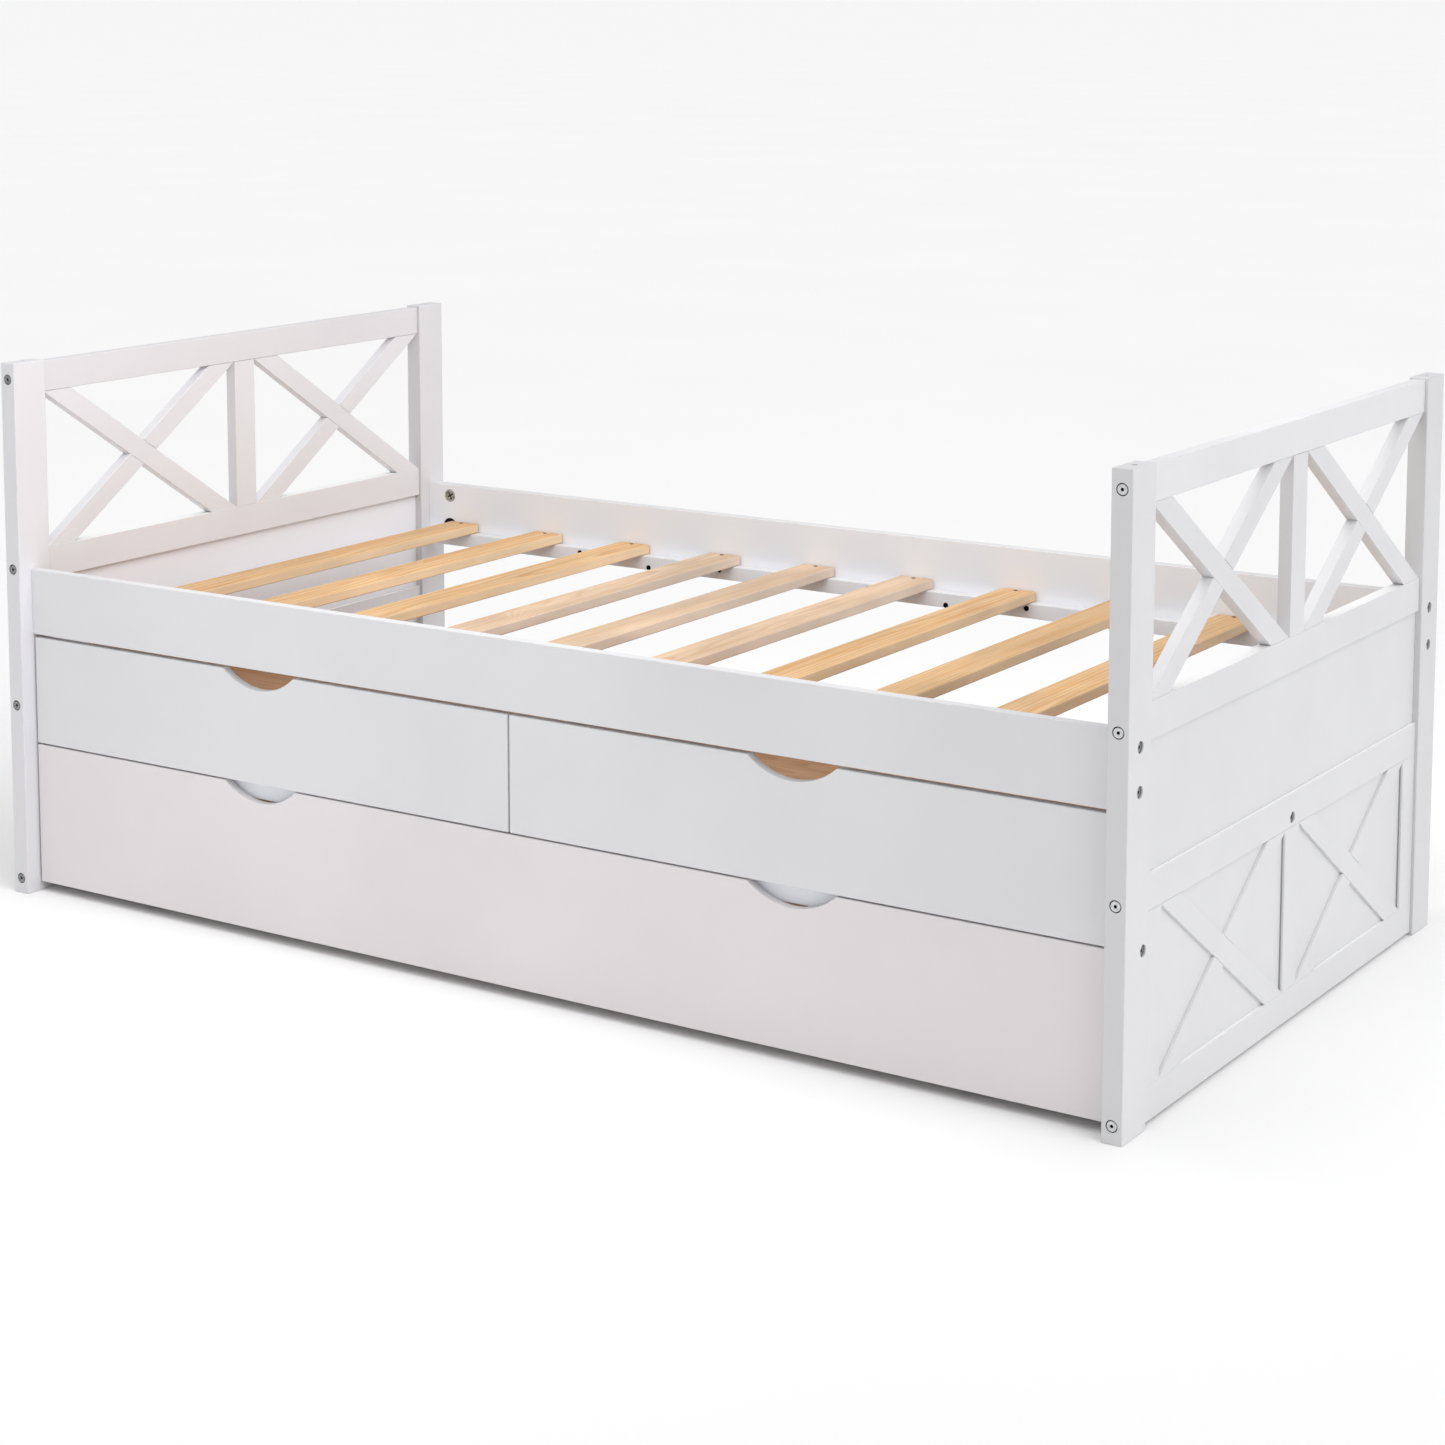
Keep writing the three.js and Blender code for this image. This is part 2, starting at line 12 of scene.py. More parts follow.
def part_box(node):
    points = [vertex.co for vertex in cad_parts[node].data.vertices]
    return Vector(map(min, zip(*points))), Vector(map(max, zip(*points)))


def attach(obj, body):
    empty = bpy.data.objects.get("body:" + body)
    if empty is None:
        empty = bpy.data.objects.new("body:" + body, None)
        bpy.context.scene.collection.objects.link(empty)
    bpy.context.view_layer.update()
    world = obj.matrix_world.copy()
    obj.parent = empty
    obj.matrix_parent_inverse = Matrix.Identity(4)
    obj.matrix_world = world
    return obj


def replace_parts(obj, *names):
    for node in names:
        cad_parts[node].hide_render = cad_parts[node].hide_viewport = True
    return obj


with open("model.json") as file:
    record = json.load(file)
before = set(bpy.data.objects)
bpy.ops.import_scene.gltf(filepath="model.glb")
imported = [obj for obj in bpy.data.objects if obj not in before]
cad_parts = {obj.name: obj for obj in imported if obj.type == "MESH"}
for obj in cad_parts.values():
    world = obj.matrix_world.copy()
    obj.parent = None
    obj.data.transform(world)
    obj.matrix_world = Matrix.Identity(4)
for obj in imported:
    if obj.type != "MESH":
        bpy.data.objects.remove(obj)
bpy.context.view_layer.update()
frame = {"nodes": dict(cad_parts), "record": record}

MM = 0.001
X, Y, Z = 0, 1, 2
BODY_OF = {n: body for body, nodes in frame["record"]["behaviour"]["bodies"].items() for n in nodes}
SLOT_OF = {part["node"]: part["material_slot"] for part in frame["record"]["subparts"]}

# ---- Sizes that the frame's boxes don't give ----
EASE_SEGMENTS = 3
SHORTEST_EASED_EDGE = 3 * MM      # the rims of round holes are made of shorter edges
SHARP_ANGLE = math.radians(34)
ROOM_FOR_AN_EASE = 2.2            # widths of an ease that the faces beside an edge need
ROUND_STEPS = 24

BOLT_HEIGHTS = (0.857, 0.544, 0.317, 0.025)
SIDE_RAIL_BOLT_HEIGHTS = (0.520, 0.461)
SHELF_RAIL_BOLT_HEIGHT = 0.247
BEAM_BOLT_HEIGHT = 0.305
BOLT_BORE_DEEP = 3 * MM
BOLT_BORE_R = 8.6 * MM
BOLT_HEAD_R = 7.3 * MM
FRONT_BOLT_SUNK = 0.2 * MM
SIDE_BOLT_SUNK = 1.9 * MM

NUT_R = 8.0 * MM
NUT_LONG = 7.0 * MM
NUT_SLOT_HALF = 1.3 * MM
NUT_SLOT_DEEP = 2.4 * MM
UPPER_NUT_PROUD = 0.4 * MM
LOW_NUT_SUNK = 5.0 * MM
NUT_FLANGE_R = 12.0 * MM
LOW_NUT_SHADOW_R = 15.5 * MM
NUT_FLANGE_THICK = 0.9 * MM
NUT_FROM_RAIL_END = 0.050

SCREW_SLOT_DEEP = 0.7 * MM
SCREW_STANDS_CLEAR = 0.15 * MM
SLAT_SCREW_IN = 12.5 * MM
SLAT_SCREW_R = 3.6 * MM
CLEAT_SCREW_PITCH = 0.153
CLEAT_SCREWS_EACH_WAY = 6
CLEAT_SCREW_SHIFT = 0.014
CLEAT_SCREW_OFFSETS = (4 * MM, -8 * MM)
CLEAT_SCREW_R = 4.6 * MM
DRAWER_SCREW_FROM_FRONT = 8 * MM
DRAWER_SCREW_FROM_EDGE = 0.03
DRAWER_SCREW_R = 3.4 * MM

DRAWER_SIDE_THICK = 12 * MM
DRAWER_BOARD_EASE = 0.8 * MM
DRAWER_BOARD_GAP = 0.1 * MM
TRUNDLE_SLATS = 9
TRUNDLE_SLAT_WIDE = 60 * MM
TRUNDLE_SLAT_THICK = 14 * MM
STRAP_WIDE = 30 * MM
STRAP_Y = 0.250
STRAP_SAG = 3 * MM
STRAP_THICK = 0.9 * MM
STRAP_STEPS_PER_PITCH = 14

WHEEL_HUB_R = 7.0 * MM
WHEEL_BORE_R = 3.4 * MM
WHEEL_STEPS = 48
CASTER_CHEEK_BESIDE_WHEEL = 3.5 * MM
CASTER_PLATE_THICK = 2.5 * MM
CASTER_SCREW_R = 3.2 * MM
CASTER_SCREW_X, CASTER_SCREW_Y = 18 * MM, 14 * MM


# ---- Materials ----
class Look:
    """One material while it is being built. Each call adds a node and wires its inputs."""

    def __init__(self, name, **constants):
        self.material = bpy.data.materials.new(name)
        self.material.use_nodes = True
        self.tree = self.material.node_tree
        self.shader = self.tree.nodes["Principled BSDF"]
        for socket, value in constants.items():
            self.shader.inputs[socket.replace("_", " ")].default_value = value

    def wire(self, socket, value):
        if isinstance(value, bpy.types.NodeSocket):
            self.tree.links.new(value, socket)
        else:
            socket.default_value = value

    def node(self, kind, inputs, output=0, **settings):
        made = self.tree.nodes.new("ShaderNode" + kind)
        for key, value in settings.items():
            setattr(made, key, value)
        for key, value in inputs.items():
            self.wire(made.inputs[key], value)
        return made.outputs[output]

    def sum(self, operation, a, b=0.0, c=0.0):
        return self.node("Math", {0: a, 1: b, 2: c}, operation=operation)

    def coordinates(self):
        return self.node("TexCoord", {}, output="Object")

    def stretched(self, vector, scale):
        return self.node("Mapping", {"Vector": vector, "Scale": scale})

    def noise(self, vector, scale=1.0, detail=2.0, roughness=0.5):
        inputs = {"Vector": vector, "Scale": scale, "Detail": detail, "Roughness": roughness}
        return self.node("TexNoise", inputs)

    def remap(self, value, low, high, to_low, to_high):
        inputs = {"Value": value, "From Min": low, "From Max": high, "To Min": to_low, "To Max": to_high}
        return self.node("MapRange", inputs)

    def mixed(self, share, a, b, blend="MIX"):
        return self.node("Mix", {0: share, 6: a, 7: b}, output=2, data_type="RGBA", blend_type=blend)

    def attribute(self, name):
        return self.node("Attribute", {}, output="Fac", attribute_name=name)

    def facing(self, axis):
        """1 on faces that look along the axis, 0 on those beside it."""
        normal = self.node("NewGeometry", {}, output="Normal")
        part = self.node("SeparateXYZ", {0: normal}, output=axis)
        return self.sum("GREATER_THAN", self.sum("ABSOLUTE", part), 0.6)

    def looking(self, axis, sign):
        """1 on faces that look one way along the axis, 0 on all others."""
        normal = self.node("NewGeometry", {}, output="Normal")
        part = self.node("SeparateXYZ", {0: normal}, output=axis)
        return self.sum("GREATER_THAN", self.sum("MULTIPLY", part, sign), 0.8)

    def bumps(self, *layers):
        """Stacks height layers, each a (height, depth in metres) pair, on the shader's normal."""
        normal = None
        for height, depth in layers:
            inputs = {"Height": height, "Strength": 1.0, "Distance": depth}
            if normal:
                inputs["Normal"] = normal
            normal = self.node("Bump", inputs)
        self.wire(self.shader.inputs["Normal"], normal)

    def finish(self, colour, roughness):
        self.wire(self.shader.inputs["Base Color"], colour)
        self.wire(self.shader.inputs["Roughness"], roughness)
        return self.material


def rgb(red, green, blue):
    return (red, green, blue, 1.0)


def shaded_by(tint, share):
    return rgb(*[channel * share for channel in tint[:3]])


COOL_WHITE = rgb(0.750, 0.750, 0.768)
WARM_WHITE = rgb(0.782, 0.748, 0.758)
ROSE_WHITE = rgb(0.775, 0.766, 0.796)
# The next three tints are painted light: lighter tints for faces that lie in shade inside the frame, and
# a painted highlight on ledges that look up.
LIT_INNER_WHITE = rgb(0.905, 0.925, 0.970)
LIT_HEAD_PANEL_WHITE = rgb(0.865, 0.870, 0.925)
LEDGE_HIGHLIGHT_WHITE = rgb(0.960, 0.960, 0.965)
PRIMER = rgb(0.60, 0.585, 0.57)
THIN_PAINT_SHARE = 0.955          # of the tint, in patches and along the grain
GRAIN_ALONG = 5.0
GRAIN_ACROSS = 190.0


def painted(name, tint, grain_axis, grain_depth, tilt=0.0, edge_shade=1.0, one_side=None):
    """Satin paint. The wood's grain telegraphs through along grain_axis, turned by tilt about X,
    and the paint lies a little thinner and duller along the eased edges. edge_shade is painted
    shade on the faces that look along Y. one_side is (axis, sign, tint), painted light: a lighter
    tint for the faces that look one way. Both are matched to how bright the faces look."""
    look = Look(name, IOR=1.46)
    spot = look.coordinates()
    turned = look.node("VectorRotate", {"Vector": spot, "Angle": tilt}, rotation_type="X_AXIS")
    scale = [GRAIN_ACROSS] * 3
    scale[grain_axis] = GRAIN_ALONG
    grain = look.noise(look.stretched(turned, scale), detail=3.0, roughness=0.6)
    patches = look.noise(spot, scale=3.0, detail=3.0)
    stipple = look.noise(spot, scale=1100.0, detail=1.0)
    shaded = shaded_by(tint, THIN_PAINT_SHARE)
    colour = look.mixed(look.remap(patches, 0.35, 0.65, 0.0, 1.0), shaded, tint)
    streak = look.remap(grain, 0.50, 0.74, 0.0, 6.0 * grain_depth / MM)
    colour = look.mixed(streak, colour, shaded)
    breaks = look.remap(look.noise(spot, scale=55.0, detail=4.0), 0.45, 0.7, 0.05, 0.45)
    # Painted shade on the faces that look along Y.
    if edge_shade < 1.0:
        painted_shade_tint = shaded_by(tint, edge_shade)
        colour = look.mixed(look.facing(Y), colour, painted_shade_tint)
    # Painted light: one_side's tint on the faces that look that way.
    if one_side:
        colour = look.mixed(look.looking(*one_side[:2]), colour, one_side[2])
    worn = look.sum("MULTIPLY", look.attribute("eased"), breaks)
    colour = look.mixed(worn, colour, PRIMER)
    roughness = look.remap(look.noise(spot, scale=18.0, detail=4.0), 0.3, 0.7, 0.34, 0.46)
    roughness = look.sum("ADD", roughness, look.sum("MULTIPLY", worn, 0.4))
    look.bumps((grain, grain_depth), (stipple, 0.02 * MM))
    return look.finish(colour, roughness)


def pine(name, early, late, boards, thick_middle, ring_gap=4.2 * MM):
    """Planed softwood with its growth rings cut through in depth. boards is the first board's
    centre along X and the pitch of the boards, so that each comes from another log."""
    first, pitch = boards
    flushed = rgb(late[0] * 1.08, late[1] * 1.00, late[2] * 0.80)
    # Painted light: a paler tone for the slats' side faces, which lie in shade between the slats.
    lit_side = rgb(early[0] * 1.14, early[1] * 1.26, early[2] * 1.50)
    look = Look(name, IOR=1.45)
    spot = look.coordinates()
    x, y, z = (look.node("SeparateXYZ", {0: spot}, output=axis) for axis in (X, Y, Z))
    index = look.sum("ROUND", look.sum("DIVIDE", look.sum("SUBTRACT", x, first), pitch))
    dice = look.node("TexWhiteNoise", {"W": look.sum("ADD", index, 7.3)}, output="Color",
                     noise_dimensions="1D")
    dice_a, dice_b, dice_c = (look.node("SeparateColor", {0: dice}, output=i) for i in range(3))
    centre = look.sum("MULTIPLY_ADD", index, pitch, first)
    pith_aside = look.remap(dice_a, 0, 1, -0.05, 0.05)
    pith_below = look.remap(dice_b, 0, 1, 0.012, 0.06)
    across = look.sum("SUBTRACT", look.sum("SUBTRACT", x, centre), pith_aside)
    depth = look.sum("ADD", look.sum("SUBTRACT", z, thick_middle), pith_below)
    squares = [look.sum("POWER", distance, 2.0) for distance in (across, depth)]
    radius = look.sum("SQRT", look.sum("ADD", *squares))
    slow = look.noise(look.stretched(spot, (9.0, 1.1, 9.0)), detail=2.0)
    radius = look.sum("MULTIPLY_ADD", slow, 0.055, radius)
    knot_spot = look.stretched(spot, (5.0, 3.6, 9.0))
    knot = look.node("TexVoronoi", {"Vector": knot_spot, "Scale": 1.0}, output="Distance")
    knot_pull = look.remap(knot, 0.05, 0.22, 1.0, 0.0)
    radius = look.sum("MULTIPLY_ADD", knot_pull, 0.012, radius)
    phase = look.sum("FRACT", look.sum("DIVIDE", radius, ring_gap))
    rising = look.remap(phase, 0.30, 0.86, 0.0, 1.0)
    falling = look.remap(phase, 0.88, 1.0, 1.0, 0.0)
    ring = look.sum("MULTIPLY", look.sum("MULTIPLY", rising, rising), falling)
    colour = look.mixed(look.sum("MULTIPLY", ring, 0.95), early, late)
    fibre = look.noise(look.stretched(spot, (700.0, 9.0, 700.0)), detail=3.0, roughness=0.7)
    fibre_share = look.remap(fibre, 0.45, 0.72, 0.0, 0.62)
    colour = look.mixed(fibre_share, colour, late)
    streaks = look.noise(look.stretched(spot, (150.0, 2.2, 150.0)), detail=2.0)
    colour = look.mixed(look.remap(streaks, 0.48, 0.66, 0.0, 0.7), colour, flushed)
    # Painted light on the side faces that look along X.
    colour = look.mixed(look.sum("MULTIPLY", look.facing(X), 0.75), colour, lit_side)
    patch = look.noise(look.stretched(spot, (16.0, 4.0, 16.0)), detail=3.0)
    log_tone = look.remap(dice_c, 0, 1, 0.93, 1.04)
    tone = look.sum("MULTIPLY", log_tone, look.remap(patch, 0.3, 0.7, 0.84, 1.12))
    toned = look.node("CombineColor", {0: tone, 1: tone, 2: tone})
    colour = look.mixed(1.0, colour, toned, blend="MULTIPLY")
    colour = look.mixed(look.remap(knot, 0.035, 0.06, 0.85, 0.0), colour, rgb(0.20, 0.085, 0.035))
    end_grain = look.sum("MULTIPLY", look.facing(Y), 0.35)
    colour = look.mixed(end_grain, colour, rgb(0.42, 0.24, 0.12))
    colour = look.mixed(look.sum("MULTIPLY", look.attribute("eased"), 0.22), colour, late)
    look.bumps((ring, 0.05 * MM), (fibre, 0.10 * MM))
    return look.finish(colour, look.remap(fibre, 0.3, 0.7, 0.46, 0.64))


PLY_LIGHT = rgb(0.50, 0.315, 0.190)
PLY_DARK = rgb(0.38, 0.215, 0.120)
PLY_CORE = rgb(0.33, 0.185, 0.095)


def plywood(name, grain_axis, thick_axis, ply=1.4 * MM):
    """Raw light brown plywood: a flowing rotary-cut face, and layers that show on the cut edges."""
    look = Look(name, IOR=1.45)
    spot = look.coordinates()
    broad_scale = [9.0] * 3
    broad_scale[grain_axis] = 1.3
    broad = look.noise(look.stretched(spot, broad_scale), detail=3.0)
    bands = look.sum("FRACT", look.sum("MULTIPLY", broad, 17.0))
    figure = look.remap(bands, 0.35, 0.95, 0.0, 0.75)
    fine_scale = [500.0] * 3
    fine_scale[grain_axis] = 14.0
    pores = look.noise(look.stretched(spot, fine_scale), detail=3.0, roughness=0.65)
    colour = look.mixed(figure, PLY_LIGHT, PLY_DARK)
    colour = look.mixed(look.remap(pores, 0.52, 0.72, 0.0, 0.5), colour, PLY_DARK)
    thick = look.node("SeparateXYZ", {0: spot}, output=thick_axis)
    layer = look.sum("PINGPONG", thick, ply)
    striped = look.mixed(look.sum("GREATER_THAN", layer, 0.5 * ply), PLY_LIGHT, PLY_CORE)
    on_edge = look.sum("SUBTRACT", 1.0, look.facing(thick_axis))
    colour = look.mixed(look.sum("MULTIPLY", on_edge, 0.8), colour, striped)
    look.bumps((pores, 0.09 * MM))
    return look.finish(colour, look.remap(pores, 0.3, 0.7, 0.52, 0.7))


def metal(name, tint, shade, rough):
    """Plated steel with a faint cloudy patina and fine rubbing marks."""
    look = Look(name, Metallic=1.0)
    spot = look.coordinates()
    clouds = look.noise(spot, scale=260.0, detail=3.0)
    rubs = look.noise(look.stretched(spot, (2600.0, 500.0, 2600.0)), detail=2.0)
    colour = look.mixed(look.remap(clouds, 0.35, 0.7, 0.0, 1.0), tint, shade)
    look.bumps((rubs, 0.015 * MM))
    return look.finish(colour, look.remap(clouds, 0.3, 0.7, rough, rough + 0.14))


def nylon(name):
    """Moulded dark nylon, finely grained and greyed where it has rolled."""
    look = Look(name, IOR=1.5)
    spot = look.coordinates()
    grain = look.noise(spot, scale=1500.0, detail=2.0)
    scuffs = look.noise(look.stretched(spot, (90.0, 420.0, 420.0)), detail=4.0)
    scuffed = look.remap(scuffs, 0.5, 0.75, 0.0, 0.5)
    colour = look.mixed(scuffed, rgb(0.028, 0.029, 0.031), rgb(0.13, 0.13, 0.125))
    look.bumps((grain, 0.04 * MM), (scuffs, 0.03 * MM))
    return look.finish(colour, look.remap(scuffs, 0.3, 0.7, 0.42, 0.62))


def webbing(name):
    """Woven strap: threads over and under each other in two directions."""
    look = Look(name)
    spot = look.coordinates()
    x, y = (look.node("SeparateXYZ", {0: spot}, output=axis) for axis in (X, Y))
    thread = math.pi / (1.3 * MM)
    warp = look.sum("SINE", look.sum("MULTIPLY", x, thread))
    weft = look.sum("SINE", look.sum("MULTIPLY", y, thread))
    weave = look.remap(look.sum("MULTIPLY", warp, weft), -1.0, 1.0, 0.0, 1.0)
    colour = look.mixed(weave, rgb(0.36, 0.35, 0.33), rgb(0.62, 0.61, 0.58))
    look.bumps((weave, 0.3 * MM))
    return look.finish(colour, look.remap(weave, 0.0, 1.0, 0.9, 0.75))


def studio_floor(name):
    look = Look(name, Roughness=0.9)
    mottle = look.noise(look.coordinates(), scale=0.8, detail=3.0)
    share = look.remap(mottle, 0.3, 0.7, 0.0, 1.0)
    colour = look.mixed(share, rgb(0.975, 0.975, 0.975), rgb(0.99, 0.99, 0.99))
    return look.finish(colour, look.remap(mottle, 0.0, 1.0, 0.85, 0.95))


# ---- Mesh work ----
def cad_shell(node):
    """The node's shape as a new mesh: shared corners joined and flat faces made whole."""
    source = frame["nodes"][node].data
    shell = bmesh.new()
    corners = [shell.verts.new(vertex.co) for vertex in source.vertices]
    for polygon in source.polygons:
        shell.faces.new([corners[i] for i in polygon.vertices])
    bmesh.ops.remove_doubles(shell, verts=shell.verts, dist=0.01 * MM)
    bmesh.ops.dissolve_limit(shell, angle_limit=math.radians(1), verts=shell.verts, edges=shell.edges)
    return shell


def add_board(shell, low, high):
    """A plain board from corner to corner, to be eased later."""
    made = bmesh.ops.create_cube(shell, size=1.0)
    centre = (Vector(low) + Vector(high)) / 2
    size = Vector(high) - Vector(low)
    for vertex in made["verts"]:
        vertex.co = centre + Vector(a * b for a, b in zip(vertex.co, size, strict=True))


def room_beside(edge):
    """How far the narrower of an edge's two faces reaches away from it."""
    start = edge.verts[0].co
    line = (edge.verts[1].co - start).normalized()
    reaches = []
    for face in edge.link_faces:
        offsets = [vertex.co - start for vertex in face.verts]
        reaches.append(max((offset - line * offset.dot(line)).length for offset in offsets))
    return min(reaches)


def outer_edges(shell, width, along=None, inside=None):
    """The corners worth easing: convex, long, with room beside them. along keeps those in one
    direction, and inside leaves out those on the limits of the box (low, high)."""
    found = []
    for edge in shell.edges:
        length = edge.calc_length()
        if len(edge.link_faces) != 2 or not edge.is_convex or length < SHORTEST_EASED_EDGE:
            continue
        if edge.calc_face_angle(0.0) < SHARP_ANGLE or room_beside(edge) < ROOM_FOR_AN_EASE * width:
            continue
        direction = (edge.verts[1].co - edge.verts[0].co) / length
        if along is not None and abs(direction.dot(along)) < 0.999:
            continue
        if inside is not None and on_limits(edge, *inside):
            continue
        found.append(edge)
    return found


def on_limits(edge, low, high):
    """True if the edge lies in one of the box's four side planes along Y and Z."""
    a, b = (vertex.co for vertex in edge.verts)
    planes = [(axis, limit[axis]) for axis in (Y, Z) for limit in (low, high)]
    return any(abs(a[axis] - at) < 0.1 * MM and abs(b[axis] - at) < 0.1 * MM for axis, at in planes)


def ease(shell, width, edges):
    """Rounds the edges over, and marks the new faces for the materials."""
    mark = shell.faces.layers.float.get("eased") or shell.faces.layers.float.new("eased")
    if not edges:
        return
    made = bmesh.ops.bevel(shell, geom=edges, offset=width, offset_type="OFFSET", affect="EDGES",
                           segments=EASE_SEGMENTS, profile=0.5, clamp_overlap=False)
    for face in made["faces"]:
        face[mark] = 1.0


def longest_direction(shell):
    edge = max(shell.edges, key=lambda e: e.calc_length())
    return (edge.verts[1].co - edge.verts[0].co).normalized()


def piece(name, shell, materials, body):
    """Makes the mesh an object with its materials, and lets it ride on its body."""
    for edge in shell.edges:
        edge.smooth = edge.calc_face_angle(math.pi) < SHARP_ANGLE
    for face in shell.faces:
        face.smooth = True
    mesh = bpy.data.meshes.new(name)
    shell.to_mesh(mesh)
    shell.free()
    for material in materials:
        mesh.materials.append(material)
    made = bpy.data.objects.new(name, mesh)
    bpy.context.scene.collection.objects.link(made)
    shading = made.modifiers.new("flat faces stay flat", "WEIGHTED_NORMAL")
    shading.keep_sharp = True
    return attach(made, body)


def finished(node, ending, material, width, along=None, inside=None):
    """Stands a finished copy for the node: the same shape, with its outer corners eased."""
    shell = cad_shell(node)
    direction = longest_direction(shell) if along == "longest" else along
    ease(shell, width, outer_edges(shell, width, direction, inside))
    made = piece(f"{node}_{ending}", shell, [material], BODY_OF[node])
    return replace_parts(made, node)


# ---- Turned and slotted hardware ----
def circle(radius, height):
    steps = (2 * math.pi * i / ROUND_STEPS for i in range(ROUND_STEPS))
    return [Vector((radius * math.cos(a), radius * math.sin(a), height)) for a in steps]


def hexagon(across_flats, height):
    """As many points as a circle, on a hexagon's sides."""
    points = []
    for i in range(ROUND_STEPS):
        angle = 2 * math.pi * i / ROUND_STEPS
        from_flat = (angle % (math.pi / 3)) - math.pi / 6
        radius = across_flats / 2 / math.cos(from_flat)
        points.append(Vector((radius * math.cos(angle), radius * math.sin(angle), height)))
    return points


def skin(shell, loops, place, material_of=lambda step: 0):
    """Closed surface through loops of points, capped at both ends, moved to its place."""
    rings = [[shell.verts.new(place @ point) for point in loop] for loop in loops]
    for step, (lower, upper) in enumerate(zip(rings, rings[1:])):
        for i in range(len(lower)):
            j = (i + 1) % len(lower)
            face = shell.faces.new([lower[i], lower[j], upper[j], upper[i]])
            face.material_index = material_of(step)
    shell.faces.new(list(reversed(rings[0]))).material_index = material_of(0)
    shell.faces.new(rings[-1]).material_index = material_of(len(rings) - 2)


def looking(point, direction, spin=0.0):
    """A place whose own Z points along direction."""
    turn = Vector(direction).to_track_quat("Z", "Y").to_matrix().to_4x4()
    return Matrix.Translation(Vector(point)) @ turn @ Matrix.Rotation(spin, 4, "Z")


def add_bolt(shell, point, direction, spin, sunk):
    """Connector bolt: a flat head with a hexagon socket, sunk in its bore. The socket and a disc at the
    bottom of the bore are black: painted shade.
    """
    place = looking(point, direction, spin)
    sink = -sunk
    socket = 4.0 * MM
    loops = [
        circle(BOLT_HEAD_R, -2.4 * MM),
        circle(BOLT_HEAD_R, sink - 0.8 * MM),
        circle(BOLT_HEAD_R - 0.3 * MM, sink - 0.25 * MM),
        circle(BOLT_HEAD_R - 1.0 * MM, sink),
        circle(3.0 * MM, sink),
        circle(2.7 * MM, sink - 0.2 * MM),
        hexagon(socket, sink - 0.3 * MM),
        hexagon(socket, -2.3 * MM),
    ]
    # The socket's walls and floor are black: painted shade.
    skin(shell, loops, place, lambda step: 1 if step >= len(loops) - 2 else 0)
    # A black disc at the bottom of the bore: painted shade in the gap round the head.
    bore_shadow = [circle(BOLT_BORE_R - 0.1 * MM, -BOLT_BORE_DEEP + 0.05 * MM),
              circle(BOLT_BORE_R - 0.1 * MM, -BOLT_BORE_DEEP + 0.5 * MM)]
    skin(shell, bore_shadow, place, lambda step: 1)


def sector(radius, half_slot, quarter, height):
    """Outline of a quarter of a round head, beside its cross slot."""
    start = math.asin(half_slot / radius)
    arc_steps = ROUND_STEPS // 4
    sweep = math.pi / 2 - 2 * start
    arc = [start + sweep * i / arc_steps for i in range(arc_steps + 1)]
    points = [Vector((half_slot, half_slot, height))]
    points += [Vector((radius * math.cos(a), radius * math.sin(a), height)) for a in arc]
    turn = Matrix.Rotation(quarter * math.pi / 2, 4, "Z")
    return [turn @ point for point in points]


def add_cross_head(shell, place, radius, half_slot, slot_deep, thick):
    """Round head with a cross slot: a base disc and four quarters that stand on it."""
    # The base disc is in the second material, black: painted shade at the bottom of the slot.
    base = [circle(radius, -thick), circle(radius, -slot_deep)]
    skin(shell, base, place, lambda step: 1)
    crown = 0.12 * radius
    for quarter in range(4):
        loops = [sector(radius, half_slot, quarter, -slot_deep),
                 sector(radius, half_slot, quarter, -0.35 * crown),
                 sector(radius - 0.7 * crown, half_slot, quarter, 0.0)]
        skin(shell, loops, place)


def add_screw(shell, point, direction, spin, radius):
    """Cross-head screw that stands just clear of the face at point, so that its slot is open."""
    proud = SCREW_SLOT_DEEP + SCREW_STANDS_CLEAR
    place = looking(Vector(point) + Vector(direction) * proud, direction, spin)
    add_cross_head(shell, place, radius, 0.16 * radius, SCREW_SLOT_DEEP, SCREW_SLOT_DEEP + 0.6 * MM)


# ---- Studio: camera, floor and light ----
CAMERA_AT = Vector((2.5999, -4.0323, 1.4878))
CAMERA_YAW, CAMERA_PITCH, CAMERA_ROLL = (math.radians(a) for a in (34.7211, 7.0107, -0.2268))
CAMERA_LENS_MM, CAMERA_SENSOR_MM = 75.735, 36.0
CAMERA_SHIFT = (0.0805, -0.2512)
CAMERA_SEES_TO = 2000.0
FLOOR_R = 400.0


def add_camera():
    """A long lens a little above the mattress, shifted as the product view is."""
    forward = Vector((-math.sin(CAMERA_YAW) * math.cos(CAMERA_PITCH),
                      math.cos(CAMERA_YAW) * math.cos(CAMERA_PITCH), -math.sin(CAMERA_PITCH)))
    right = forward.cross(Vector((0, 0, 1))).normalized()
    down = forward.cross(right)
    rolled_right = right * math.cos(CAMERA_ROLL) - down * math.sin(CAMERA_ROLL)
    rolled_down = right * math.sin(CAMERA_ROLL) + down * math.cos(CAMERA_ROLL)
    camera = bpy.data.objects.new("camera", bpy.data.cameras.new("camera"))
    camera.data.lens = CAMERA_LENS_MM
    camera.data.sensor_width = CAMERA_SENSOR_MM
    camera.data.shift_x, camera.data.shift_y = CAMERA_SHIFT
    camera.data.clip_end = CAMERA_SEES_TO
    basis = Matrix((rolled_right, -rolled_down, -forward)).transposed()
    camera.matrix_world = Matrix.Translation(CAMERA_AT) @ basis.to_4x4()
    bpy.context.scene.collection.objects.link(camera)
    bpy.context.scene.camera = camera


